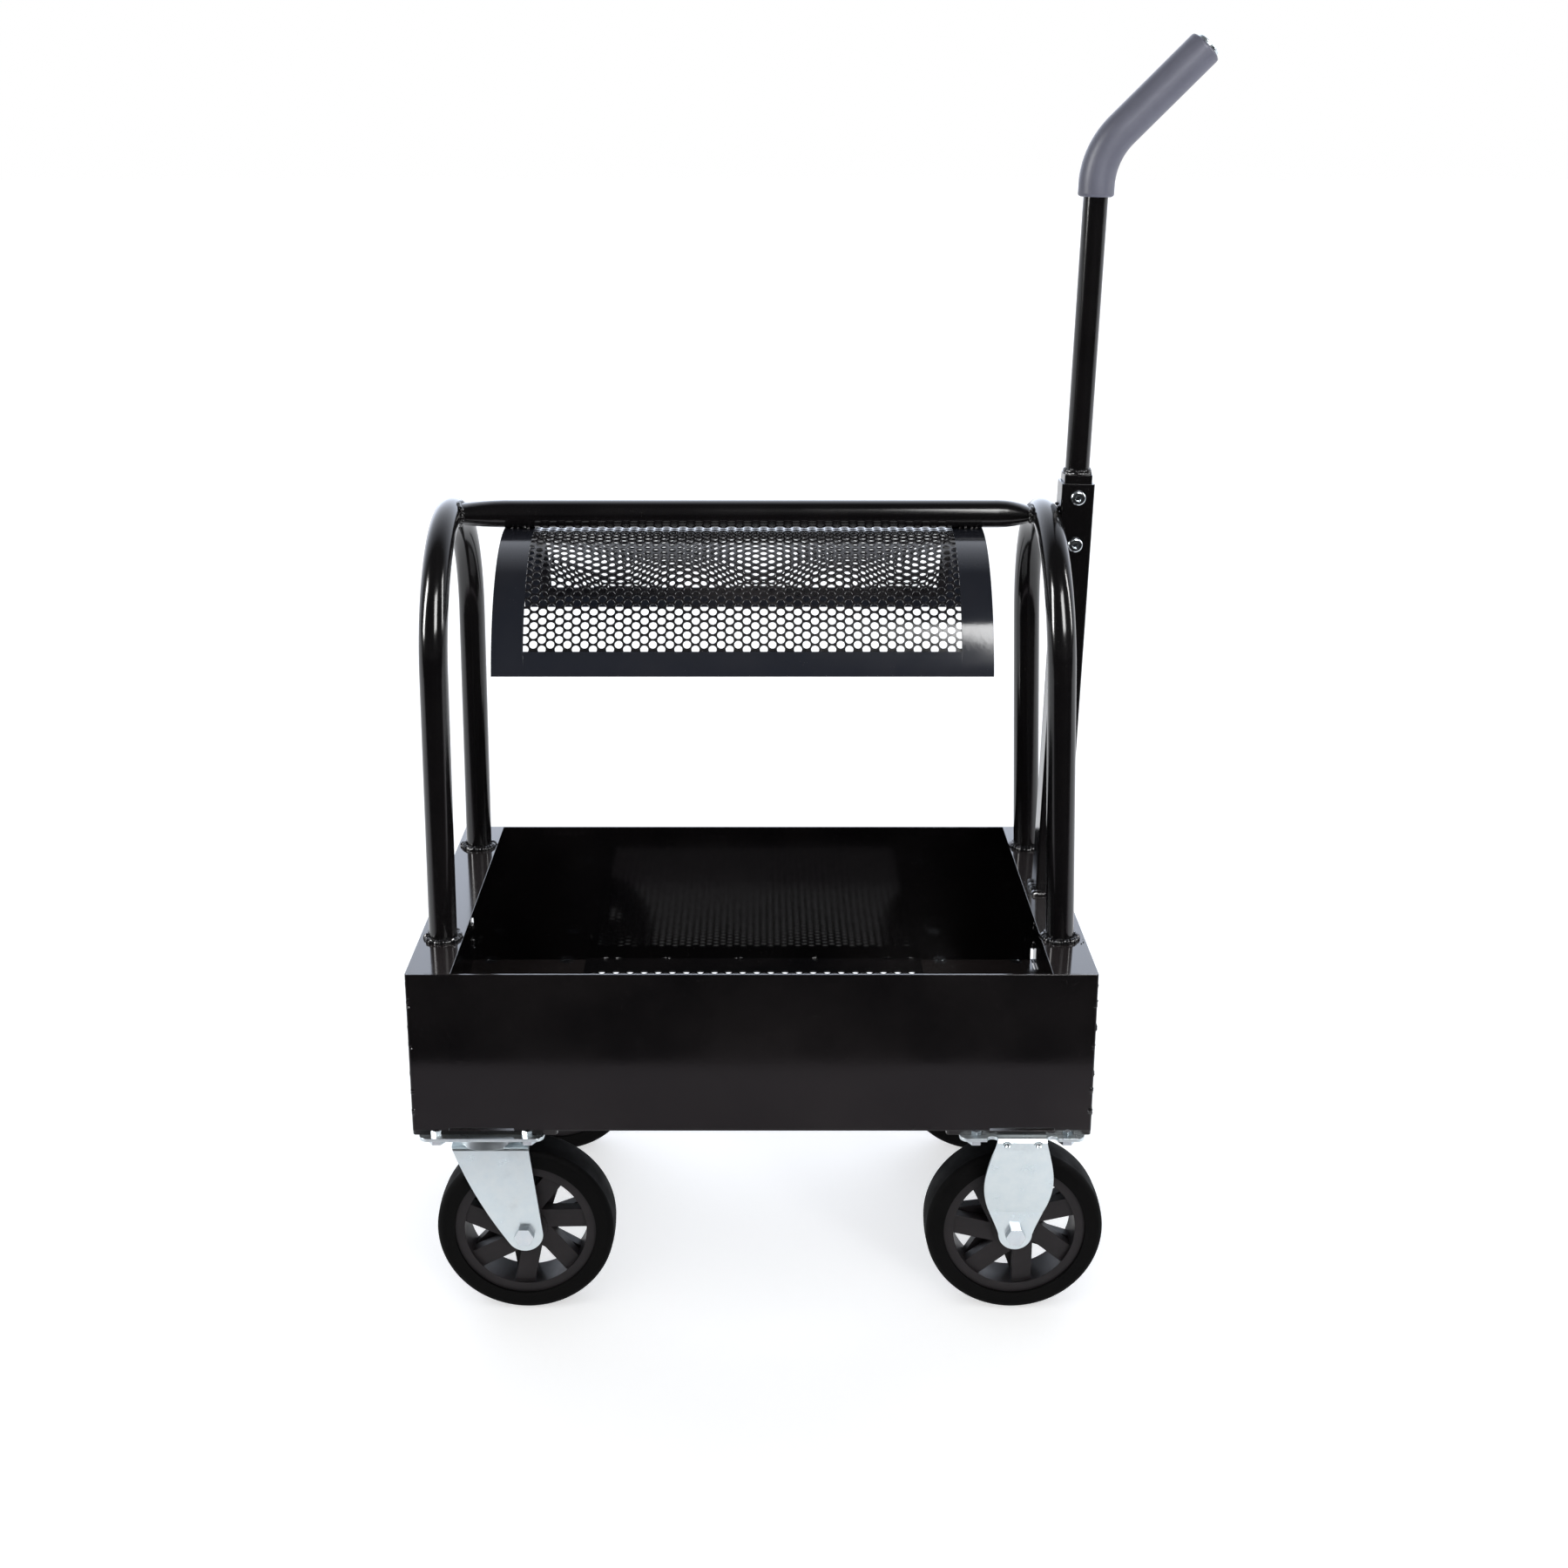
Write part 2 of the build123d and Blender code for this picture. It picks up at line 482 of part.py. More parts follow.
# === swivel casters ===========================================================================
def swivel_top_plate(corner, x, y):
    """The bolted plate with the upper ball race pressed into its underside."""
    with BuildPart() as plate:
        with BuildSketch(local(x, y, PLATE_BOTTOM)):
            RectangleRounded(PLATE_LENGTH, PLATE_DEPTH, PLATE_CORNER)
            with Locations(*bolt_places):
                Circle(BOLT_HOLE, mode=Mode.SUBTRACT)
        extrude(amount=PLATE)
        with BuildSketch(front_plane(x, y)):
            with BuildLine():
                Polyline((KINGPIN_RADIUS, PLATE_BOTTOM), (RACE_OUTER, PLATE_BOTTOM),
                         (RACE_MOUTH, RACE_MIDDLE + RACE_GAP),
                         (KINGPIN_RADIUS, RACE_MIDDLE + RACE_GAP), close=True)
            make_face()
            with Locations((BALL_CIRCLE, RACE_MIDDLE)):
                Circle(BALL_GROOVE, mode=Mode.SUBTRACT)
        revolve(axis=Axis((TRAY_X + x, y, 0), (0, 0, 1)))
        with BuildSketch(local(x, y, RACE_MIDDLE)):
            Circle(KINGPIN_RADIUS)
        extrude(amount=CASTER_HEIGHT - RACE_MIDDLE, mode=Mode.SUBTRACT)
    save(plate, f"{corner}_top_plate")


def kingpin(corner, x, y):
    """The rivet that the swivel fork turns on, with its wide foot under the fork's crown."""
    crown_under = FORK_CROWN - FORK_SHEET
    with BuildPart() as pin:
        with BuildSketch(local(x, y, crown_under - KINGPIN_FOOT)):
            Circle(KINGPIN_RADIUS)
        extrude(amount=CASTER_HEIGHT - crown_under + KINGPIN_FOOT)
        with BuildSketch(local(x, y, crown_under - KINGPIN_FOOT)):
            Circle(KINGPIN_FOOT_RADIUS)
        extrude(amount=KINGPIN_FOOT - 0.3)
    save(pin, f"{corner}_kingpin")


def swivel_fork(corner, x, y):
    """A folded fork: level crown with the lower ball race, and two ears down to the axle."""
    width = FORK_GAP + 2 * FORK_SHEET
    heel_x = TRAIL - FORK_HEEL_IN
    heel = (heel_x, AXLE_Z - FORK_HEEL_DOWN)
    race_inner = KINGPIN_RADIUS + RACE_INNER_STEP
    race_foot = FORK_CROWN - FORK_SHEET / 2
    with BuildPart() as fork:
        with BuildSketch(front_plane(x, y + width / 2)):
            with BuildLine():
                Line((-CROWN_FRONT, FORK_CROWN), (CROWN_BACK, FORK_CROWN))
                Line((CROWN_BACK, FORK_CROWN), (TRAIL + FORK_END_RADIUS, AXLE_Z))
                ThreePointArc((TRAIL + FORK_END_RADIUS, AXLE_Z), (TRAIL, AXLE_Z - FORK_END_RADIUS), heel)
                ThreePointArc(heel, FORK_WAIST, (-CROWN_FRONT, FORK_CROWN))
            make_face()
            with Locations((TRAIL, AXLE_Z)):
                Circle(AXLE_RADIUS + RUNNING, mode=Mode.SUBTRACT)
        extrude(amount=width)
        with BuildSketch(local(x, y, FORK_CROWN - FORK_SHEET)):
            Rectangle(4 * CROWN_BACK, FORK_GAP)
        extrude(amount=-FORK_CROWN, mode=Mode.SUBTRACT)
        top_edges = fork.edges().filter_by(Axis.X).group_by(Axis.Z)[-1]
        fillet(top_edges, FORK_SHEET * 1.3)
        with BuildSketch(front_plane(x, y)):
            with BuildLine():
                Polyline((race_inner, race_foot), (RACE_LOWER_OUTER, race_foot),
                         (RACE_MOUTH, RACE_MIDDLE - RACE_GAP),
                         (race_inner, RACE_MIDDLE - RACE_GAP), close=True)
            make_face()
            with Locations((BALL_CIRCLE, RACE_MIDDLE)):
                Circle(BALL_GROOVE, mode=Mode.SUBTRACT)
        revolve(axis=Axis((TRAY_X + x, y, 0), (0, 0, 1)))
        with BuildSketch(local(x, y, FORK_CROWN - 2 * FORK_SHEET)):
            Circle(KINGPIN_RADIUS + RUNNING)
        extrude(amount=4 * FORK_SHEET, mode=Mode.SUBTRACT)
    save(fork, f"{corner}_fork")


def race_balls(corner, x, y):
    with BuildPart() as balls:
        with Locations(local(x, y, RACE_MIDDLE)):
            with PolarLocations(BALL_CIRCLE, BALL_COUNT):
                Sphere(BALL_RADIUS)
    save(balls, f"{corner}_race_balls")


# === rigid casters ============================================================================
def rigid_fork(corner, x, y):
    """One pressing: a bolted plate whose long edges fold down and inwards as two waisted ears."""
    edge = PLATE_DEPTH / 2
    ear = FORK_GAP / 2
    ear_foot = AXLE_Z - 2 * RIGID_END_RADIUS
    fold_end = CASTER_HEIGHT - RIGID_FOLD_DROP
    outline = ((RIGID_EAR_TOP, CASTER_HEIGHT), RIGID_SHOULDER, RIGID_WIDEST, RIGID_NECK,
               (RIGID_END_RADIUS, AXLE_Z))
    mirrored = [(-half_width, height) for half_width, height in reversed(outline)]
    with BuildPart() as ears:
        with BuildSketch(side_plane(x - PLATE_LENGTH / 2, y)):
            for side in (-1, 1):
                with BuildLine():
                    Polyline((side * (edge - RIGID_FOLD), CASTER_HEIGHT),
                             (side * (edge - 2), CASTER_HEIGHT - 1),
                             (side * edge, CASTER_HEIGHT - 4),
                             (side * (edge - 1), fold_end),
                             (side * (ear + FORK_SHEET), RIGID_CREASE),
                             (side * (ear + FORK_SHEET), ear_foot),
                             (side * ear, ear_foot),
                             (side * ear, RIGID_CREASE - 0.6),
                             (side * (edge - 1.1 - FORK_SHEET), fold_end),
                             (side * (edge - 1 - FORK_SHEET), PLATE_BOTTOM),
                             (side * (edge - RIGID_FOLD), PLATE_BOTTOM), close=True)
                make_face()
        extrude(amount=PLATE_LENGTH)
        with BuildSketch(front_plane(x, y + edge)):
            with BuildLine():
                Line((-RIGID_EAR_TOP, CASTER_HEIGHT), (RIGID_EAR_TOP, CASTER_HEIGHT))
                Spline(*outline, tangents=((0, -1), (-0.3, -1)))
                ThreePointArc((RIGID_END_RADIUS, AXLE_Z), (0, AXLE_Z - RIGID_END_RADIUS),
                              (-RIGID_END_RADIUS, AXLE_Z))
                Spline(*mirrored, tangents=((-0.3, 1), (0, 1)))
            make_face()
            with Locations((0, AXLE_Z)):
                Circle(AXLE_RADIUS + CONTACT_GAP, mode=Mode.SUBTRACT)
        extrude(amount=PLATE_DEPTH, mode=Mode.INTERSECT)
        for dimple_x in (-RIGID_DIMPLE_X, RIGID_DIMPLE_X):
            for dimple_y in (-edge - 1.5, edge + 1.5):
                with Locations(local(x + dimple_x, y + dimple_y, CASTER_HEIGHT - RIGID_FOLD_DROP / 2)):
                    Sphere(RIGID_DIMPLE_RADIUS, mode=Mode.SUBTRACT)
    with BuildPart() as fork:
        with BuildSketch(local(x, y, PLATE_BOTTOM)):
            RectangleRounded(PLATE_LENGTH, PLATE_DEPTH, PLATE_CORNER)
            with Locations(*bolt_places):
                Circle(BOLT_HOLE, mode=Mode.SUBTRACT)
            with Locations((-RELIEF_X, -edge), (RELIEF_X, -edge), (-RELIEF_X, edge), (RELIEF_X, edge)):
                Circle(RELIEF_RADIUS, mode=Mode.SUBTRACT)
            with Locations((0, -edge), (0, edge)):
                Rectangle(2 * RIGID_EAR_TOP, 2 * RIGID_FOLD, mode=Mode.SUBTRACT)
        extrude(amount=PLATE)
        add(ears.part)
    save(fork, f"{corner}_rigid_fork")


# === axles and wheels =========================================================================
def axle(corner, x, y, outward):
    """Axle bolt with its head outwards, its nut, and the spacer tube that the bearing runs on."""
    ear_face = FORK_GAP / 2 + FORK_SHEET
    head_plane = Plane(origin=(TRAY_X + x, y + outward * ear_face, AXLE_Z),
                       x_dir=(1, 0, 0), z_dir=(0, outward, 0))
    nut_plane = Plane(origin=(TRAY_X + x, y - outward * ear_face, AXLE_Z),
                      x_dir=(1, 0, 0), z_dir=(0, -outward, 0))
    with BuildPart() as bolt:
        with BuildSketch(head_plane):
            RegularPolygon(AXLE_HEX_RADIUS, 6, major_radius=False)
        extrude(amount=AXLE_HEAD)
        with BuildSketch(head_plane):
            Circle(AXLE_RADIUS)
        extrude(amount=-(2 * ear_face + AXLE_NUT + AXLE_PAST))
    save(bolt, f"{corner}_axle_bolt")
    with BuildPart() as nut:
        with BuildSketch(nut_plane):
            RegularPolygon(AXLE_HEX_RADIUS, 6, major_radius=False)
            Circle(AXLE_RADIUS + CONTACT_GAP, mode=Mode.SUBTRACT)
        extrude(amount=AXLE_NUT)
    save(nut, f"{corner}_axle_nut")
    with BuildPart() as tube:
        with BuildSketch(front_plane(x, y + FORK_GAP / 2, AXLE_Z)):
            Circle(AXLE_TUBE_RADIUS)
            Circle(AXLE_RADIUS + CONTACT_GAP, mode=Mode.SUBTRACT)
        extrude(amount=FORK_GAP)
    save(tube, f"{corner}_axle_tube")


def wheel(corner, x, y, phase):
    """Rubber tyre on a moulded core with two layers of slanted spokes, and a plain bearing."""
    spoke_length = RIM_RADIUS - RIM_WALL - 3
    with BuildPart() as core:
        with BuildSketch(front_plane(x, y)):
            with Locations((0, AXLE_Z)):
                Circle(RIM_RADIUS)
                Circle(RIM_RADIUS - RIM_WALL, mode=Mode.SUBTRACT)
        extrude(amount=TYRE_WIDTH / 2 - RIM_INSET, both=True)
        with BuildSketch(front_plane(x, y)):
            with Locations((0, AXLE_Z)):
                Circle(HUB_RADIUS)
        extrude(amount=TYRE_WIDTH / 2 - HUB_INSET, both=True)
        for front_y, skew, turned in ((y - SPOKE_LAYER_GAP, SPOKE_SKEW, phase),
                                      (y + SPOKE_LAYER + SPOKE_LAYER_GAP, -SPOKE_SKEW,
                                       phase + BACK_SPOKE_PHASE)):
            with BuildSketch(front_plane(x, front_y, AXLE_Z)):
                for i in range(SPOKES):
                    with Locations(Location((0, 0, 0), (0, 0, turned + i * 360 / SPOKES))):
                        with Locations((spoke_length / 2 + SPOKE_START, skew)):
                            Rectangle(spoke_length, SPOKE_WIDTH)
            extrude(amount=SPOKE_LAYER)
        with BuildSketch(front_plane(x, y)):
            with Locations((0, AXLE_Z)):
                Circle(BEARING_RADIUS + HUB_COLLAR)
        extrude(amount=HUB_WIDTH / 2, both=True)
        with BuildSketch(front_plane(x, y)):
            with Locations((0, AXLE_Z)):
                Circle(BEARING_RADIUS)
        extrude(amount=HUB_WIDTH, both=True, mode=Mode.SUBTRACT)
    save(core, f"{corner}_wheel_core")
    half = TYRE_WIDTH / 2
    shoulder = WHEEL_RADIUS - TYRE_SHOULDER
    tread = half - TYRE_SHOULDER - 1
    tread_edge = WHEEL_RADIUS - TREAD_CROWN
    with BuildPart() as tyre:
        with BuildSketch(side_plane(x, y, AXLE_Z)) as tyre_profile:
            with BuildLine():
                Line((-half, RIM_RADIUS), (half, RIM_RADIUS))
                Line((half, RIM_RADIUS), (half, shoulder))
                ThreePointArc((half, shoulder), (half - 2, shoulder + 3.7), (tread, tread_edge))
                ThreePointArc((tread, tread_edge), (0, WHEEL_RADIUS), (-tread, tread_edge))
                ThreePointArc((-tread, tread_edge), (2 - half, shoulder + 3.7), (-half, shoulder))
                Line((-half, shoulder), (-half, RIM_RADIUS))
            make_face()
        revolve(axis=Axis((TRAY_X + x, y, AXLE_Z), (0, 1, 0)))
    save(tyre, f"{corner}_tyre")
    with BuildPart() as bearing:
        with BuildSketch(front_plane(x, y, AXLE_Z)):
            Circle(BEARING_RADIUS)
            Circle(BEARING_BORE, mode=Mode.SUBTRACT)
        extrude(amount=HUB_WIDTH / 2 - 1, both=True)
    save(bearing, f"{corner}_wheel_bearing")


for depth_name, caster_y, outward in (("front", -CASTER_Y, -1), ("rear", CASTER_Y, 1)):
    swivel_corner = f"{depth_name}_left"
    swivel_top_plate(swivel_corner, -CASTER_X, caster_y)
    kingpin(swivel_corner, -CASTER_X, caster_y)
    swivel_fork(swivel_corner, -CASTER_X, caster_y)
    race_balls(swivel_corner, -CASTER_X, caster_y)
    axle(swivel_corner, TRAIL - CASTER_X, caster_y, outward)
    wheel(swivel_corner, TRAIL - CASTER_X, caster_y, SPOKE_PHASES["left"])
    rigid_corner = f"{depth_name}_right"
    rigid_fork(rigid_corner, CASTER_X, caster_y)
    axle(rigid_corner, CASTER_X, caster_y, outward)
    wheel(rigid_corner, CASTER_X, caster_y, SPOKE_PHASES["right"])
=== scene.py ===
import json
import math
import random

import bmesh
import bpy
from mathutils import Matrix, Vector, noise
from mathutils.geometry import delaunay_2d_cdt


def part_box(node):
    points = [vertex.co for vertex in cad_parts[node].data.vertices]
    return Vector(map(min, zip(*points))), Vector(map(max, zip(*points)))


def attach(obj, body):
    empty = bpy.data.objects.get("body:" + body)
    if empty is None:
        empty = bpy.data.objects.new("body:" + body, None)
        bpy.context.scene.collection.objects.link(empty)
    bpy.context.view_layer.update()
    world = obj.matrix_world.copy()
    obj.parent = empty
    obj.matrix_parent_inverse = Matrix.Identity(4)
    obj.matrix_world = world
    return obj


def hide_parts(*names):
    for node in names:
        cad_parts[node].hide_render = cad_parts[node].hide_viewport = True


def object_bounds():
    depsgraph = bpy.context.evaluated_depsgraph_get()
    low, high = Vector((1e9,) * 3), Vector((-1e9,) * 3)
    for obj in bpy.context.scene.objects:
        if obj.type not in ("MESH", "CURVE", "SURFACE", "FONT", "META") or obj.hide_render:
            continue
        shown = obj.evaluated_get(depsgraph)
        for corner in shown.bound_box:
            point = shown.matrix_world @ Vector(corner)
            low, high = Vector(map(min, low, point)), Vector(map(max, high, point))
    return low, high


# Rolling saddle rack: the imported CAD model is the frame. This script adds the perforated sheets,
# the weld beads and the foam grip, and gives every surface its finish.
MM = 0.001
UP = Vector((0, 0, 1))
ALONG_X = Vector((1, 0, 0))
ALONG_Y = Vector((0, 1, 0))

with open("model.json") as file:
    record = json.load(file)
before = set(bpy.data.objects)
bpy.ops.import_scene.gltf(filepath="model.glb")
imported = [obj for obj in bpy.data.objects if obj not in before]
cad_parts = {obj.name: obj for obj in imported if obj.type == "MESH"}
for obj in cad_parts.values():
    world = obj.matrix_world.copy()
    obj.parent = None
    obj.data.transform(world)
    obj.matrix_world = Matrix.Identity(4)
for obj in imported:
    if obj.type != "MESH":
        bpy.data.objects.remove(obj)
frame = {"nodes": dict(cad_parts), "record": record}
nodes = frame["nodes"]
cad_lo, cad_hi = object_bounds()

panel_lo, panel_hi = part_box("front_panel")
TRAY_X = (panel_lo.x + panel_hi.x) / 2
TRAY_FRONT = panel_lo.y
TRAY_TOP = panel_hi.z
TRAY_HALF = (panel_hi.x - panel_lo.x) / 2
TRAY_DEPTH_HALF = abs(TRAY_FRONT)
PANEL = 2.0 * MM
TUBE_RADIUS = 12.7 * MM


# === materials ================================================================================
# Sockets of a Mix node's colour form, whose names are shared with its number and vector forms.
MIX_COLOUR_A = 6
MIX_COLOUR_B = 7
MIX_COLOUR_RESULT = 2

DUST_AND_SHEEN = (0.045, 0.038, 0.037)
SPECK = (0.16, 0.15, 0.14)
SCRATCH = (0.12, 0.12, 0.12)
ZINC_STAIN = (0.42, 0.44, 0.46)
FOAM_PORE = (0.20, 0.205, 0.25)


class Finish:
    """A material whose node tree is built up step by step on its Principled shader."""

    def __init__(self, name, base, metallic=0.0, specular=0.5):
        self.material = bpy.data.materials.new(name)
        self.material.use_nodes = True
        self.tree = self.material.node_tree
        self.shader = self.tree.nodes["Principled BSDF"]
        self.shader.inputs["Base Color"].default_value = (*base, 1.0)
        self.shader.inputs["Metallic"].default_value = metallic
        self.shader.inputs["Specular IOR Level"].default_value = specular
        self.place = self.tree.nodes.new("ShaderNodeTexCoord").outputs["Object"]
        self.normal = None

    def link(self, a, b):
        self.tree.links.new(a, b)

    def stretched(self, scale):
        """Object coordinates scaled by three factors, so that a noise runs along one direction."""
        mapping = self.tree.nodes.new("ShaderNodeMapping")
        mapping.inputs["Scale"].default_value = scale
        self.link(self.place, mapping.inputs["Vector"])
        return mapping.outputs["Vector"]

    def noise(self, scale, detail=3.0, rough=0.5, stretch=None, distortion=0.0):
        tex = self.tree.nodes.new("ShaderNodeTexNoise")
        tex.inputs["Scale"].default_value = scale
        tex.inputs["Detail"].default_value = detail
        tex.inputs["Roughness"].default_value = rough
        tex.inputs["Distortion"].default_value = distortion
        self.link(self.stretched(stretch) if stretch else self.place, tex.inputs["Vector"])
        return tex.outputs["Fac"]

    def cells(self, scale):
        """The distance to the nearest of many scattered points."""
        tex = self.tree.nodes.new("ShaderNodeTexVoronoi")
        tex.inputs["Scale"].default_value = scale
        self.link(self.place, tex.inputs["Vector"])
        return tex.outputs["Distance"]

    def ranged(self, value, low, high, to_low=0.0, to_high=1.0):
        node = self.tree.nodes.new("ShaderNodeMapRange")
        node.inputs["From Min"].default_value = low
        node.inputs["From Max"].default_value = high
        node.inputs["To Min"].default_value = to_low
        node.inputs["To Max"].default_value = to_high
        self.link(value, node.inputs["Value"])
        return node.outputs["Result"]

    def times(self, a, b):
        node = self.tree.nodes.new("ShaderNodeMath")
        node.operation = "MULTIPLY"
        self.link(a, node.inputs[0])
        if isinstance(b, float):
            node.inputs[1].default_value = b
        else:
            self.link(b, node.inputs[1])
        return node.outputs["Value"]

    def plus(self, a, b):
        """The sum, held between 0 and 1."""
        node = self.tree.nodes.new("ShaderNodeMath")
        node.operation = "ADD"
        node.use_clamp = True
        self.link(a, node.inputs[0])
        self.link(b, node.inputs[1])
        return node.outputs["Value"]

    def blend(self, factor, a, b):
        """Mixes two colours, each a triple or an earlier result, by a factor."""
        node = self.tree.nodes.new("ShaderNodeMix")
        node.data_type = "RGBA"
        self.link(factor, node.inputs["Factor"])
        for socket, colour in ((node.inputs[MIX_COLOUR_A], a), (node.inputs[MIX_COLOUR_B], b)):
            if isinstance(colour, tuple):
                socket.default_value = (*colour, 1.0)
            else:
                self.link(colour, socket)
        return node.outputs[MIX_COLOUR_RESULT]

    def colour(self, result):
        self.link(result, self.shader.inputs["Base Color"])

    def roughness(self, result):
        self.link(result, self.shader.inputs["Roughness"])

    def upward(self):
        """1 on faces that look up and 0 on upright ones; black_paint lightens these faces, for dust and
        as a painted sheen.
        """
        geometry = self.tree.nodes.new("ShaderNodeNewGeometry")
        split = self.tree.nodes.new("ShaderNodeSeparateXYZ")
        self.link(geometry.outputs["Normal"], split.inputs[0])
        return self.ranged(split.outputs["Z"], 0.6, 0.95)

    def rounded(self, radius):
        """Softens hard edges in the shading, as a real pressed or painted edge is."""
        node = self.tree.nodes.new("ShaderNodeBevel")
        node.samples = 4
        node.inputs["Radius"].default_value = radius
        self.normal = node.outputs["Normal"]

    def bump(self, height, strength, distance):
        node = self.tree.nodes.new("ShaderNodeBump")
        node.inputs["Strength"].default_value = strength
        node.inputs["Distance"].default_value = distance
        self.link(height, node.inputs["Height"])
        if self.normal is not None:
            self.link(self.normal, node.inputs["Normal"])
        self.normal = node.outputs["Normal"]

    def done(self):
        if self.normal is not None:
            self.link(self.normal, self.shader.inputs["Normal"])
        return self.material


def black_paint(name, peel, dust, rounding=0.6 * MM, gloss=(0.06, 0.13),
                base=(0.0030, 0.0027, 0.0030), settled_dust_and_sheen=0.0):
    """Gloss black enamel: orange peel, dust specks, rubbed patches and fine scratches.
    peel is how strong the ripple is, dust how much dust lies everywhere, and settled how much faces that
    look up are lightened, for dust lying there and as a painted sheen."""
    f = Finish(name, base, specular=0.5)
    patches = f.ranged(f.noise(7.0, 4.0, 0.6), 0.35, 0.75)
    specks = f.ranged(f.cells(420.0), 0.10, 0.03)
    sparse = f.ranged(f.noise(38.0, 2.0), 0.56, 0.66)
    dots = f.times(specks, sparse)
    scratch = f.ranged(f.noise(1.0, 3.0, 0.6, (900.0, 900.0, 14.0), 0.3), 0.70, 0.80)
    scuffed = f.ranged(f.noise(16.0, 3.0), 0.52, 0.70)
    marks = f.times(scratch, scuffed)
    film = f.times(patches, dust)
    # Faces that look up get the same lighter colour: dust lying on them, and a painted sheen of the
    # bright surroundings.
    if settled_dust_and_sheen:
        film = f.plus(film, f.times(f.upward(), settled_dust_and_sheen))
    dust_and_sheen_coat = f.blend(film, base, DUST_AND_SHEEN)
    speckled = f.blend(f.times(dots, 0.55), dust_and_sheen_coat, SPECK)
    f.colour(f.blend(f.times(marks, 0.25), speckled, SCRATCH))
    rough = f.ranged(patches, 0.0, 1.0, *gloss)
    f.roughness(f.plus(rough, f.times(f.plus(dots, marks), 0.35)))
    f.rounded(rounding)
    f.bump(f.noise(260.0, 2.0, 0.5), peel, 0.10 * MM)
    f.bump(dots, 0.25, 0.12 * MM)
    return f.done()


def zinc_plate(name, base=(0.60, 0.67, 0.705), tint=(0.69, 0.74, 0.755), gloss=(0.25, 0.38)):
    """Bright bluish zinc plating: a clouded passivated layer with rolled grain and stains."""
    f = Finish(name, base, metallic=1.0)
    cloud = f.ranged(f.noise(55.0, 5.0, 0.65), 0.30, 0.72)
    stains = f.ranged(f.noise(24.0, 4.0, 0.7), 0.60, 0.76)
    clean = f.blend(cloud, base, tint)
    f.colour(f.blend(f.times(stains, 0.30), clean, ZINC_STAIN))
    grain = f.noise(1.0, 4.0, 0.6, (60.0, 900.0, 900.0))
    f.roughness(f.plus(f.ranged(cloud, 0.0, 1.0, *gloss), f.times(stains, 0.12)))
    f.rounded(0.5 * MM)
    f.bump(grain, 0.10, 0.05 * MM)
    f.bump(f.noise(420.0, 3.0), 0.10, 0.08 * MM)
    return f.done()


def bare_steel(name):
    """Turned and drawn steel with a thin oil film."""
    f = Finish(name, (0.50, 0.50, 0.51), metallic=1.0)
    grain = f.noise(1.0, 4.0, 0.6, (500.0, 30.0, 500.0))
    film = f.ranged(f.noise(90.0, 3.0), 0.4, 0.7)
    f.colour(f.blend(film, (0.52, 0.52, 0.53), (0.36, 0.35, 0.34)))
    f.roughness(f.ranged(grain, 0.3, 0.7, 0.22, 0.42))
    f.bump(grain, 0.12, 0.05 * MM)
    return f.done()


def tyre_rubber(name):
    """Matt black rubber, a little greyer where it is worn."""
    f = Finish(name, (0.0015, 0.0015, 0.0016), specular=0.06)
    wear = f.ranged(f.noise(48.0, 5.0, 0.6), 0.35, 0.75)
    f.colour(f.blend(f.times(wear, 0.6), (0.0012, 0.0012, 0.0013), (0.0045, 0.0042, 0.0040)))
    f.roughness(f.ranged(wear, 0.0, 1.0, 0.62, 0.86))
    f.bump(f.noise(700.0, 3.0, 0.6), 0.22, 0.12 * MM)
    f.bump(f.noise(90.0, 3.0, 0.5), 0.12, 0.20 * MM)
    return f.done()


def wheel_plastic(name):
    """Satin charcoal moulding with rounded edges."""
    f = Finish(name, (0.012, 0.0105, 0.0115), specular=0.20)
    tone = f.ranged(f.noise(40.0, 4.0, 0.6), 0.30, 0.75)
    f.colour(f.blend(tone, (0.0095, 0.0080, 0.0090), (0.017, 0.0142, 0.0155)))
    f.roughness(f.ranged(tone, 0.0, 1.0, 0.40, 0.56))
    f.rounded(0.9 * MM)
    f.bump(f.noise(1300.0, 2.0, 0.5), 0.20, 0.06 * MM)
    return f.done()


def nylon(name):
    """Off-white bearing nylon."""
    f = Finish(name, (0.60, 0.58, 0.53), specular=0.4)
    tone = f.ranged(f.noise(120.0, 4.0), 0.3, 0.7)
    f.colour(f.blend(tone, (0.62, 0.60, 0.55), (0.48, 0.45, 0.40)))
    f.roughness(f.ranged(tone, 0.0, 1.0, 0.38, 0.55))
    f.bump(f.noise(900.0, 2.0), 0.15, 0.05 * MM)
    return f.done()


def grip_foam(name):
    """Grey closed-cell foam rubber with a fine skinned grain."""
    f = Finish(name, (0.150, 0.153, 0.190), specular=0.3)
    tone = f.ranged(f.noise(30.0, 4.0, 0.6), 0.3, 0.72)
    pores = f.ranged(f.cells(1500.0), 0.05, 0.45)
    toned = f.blend(tone, (0.103, 0.105, 0.137), (0.123, 0.126, 0.162))
    f.colour(f.blend(f.times(pores, 0.08), toned, FOAM_PORE))
    f.roughness(f.ranged(tone, 0.0, 1.0, 0.38, 0.44))
    f.bump(f.noise(320.0, 3.0, 0.5), 0.06, 0.10 * MM)
    return f.done()


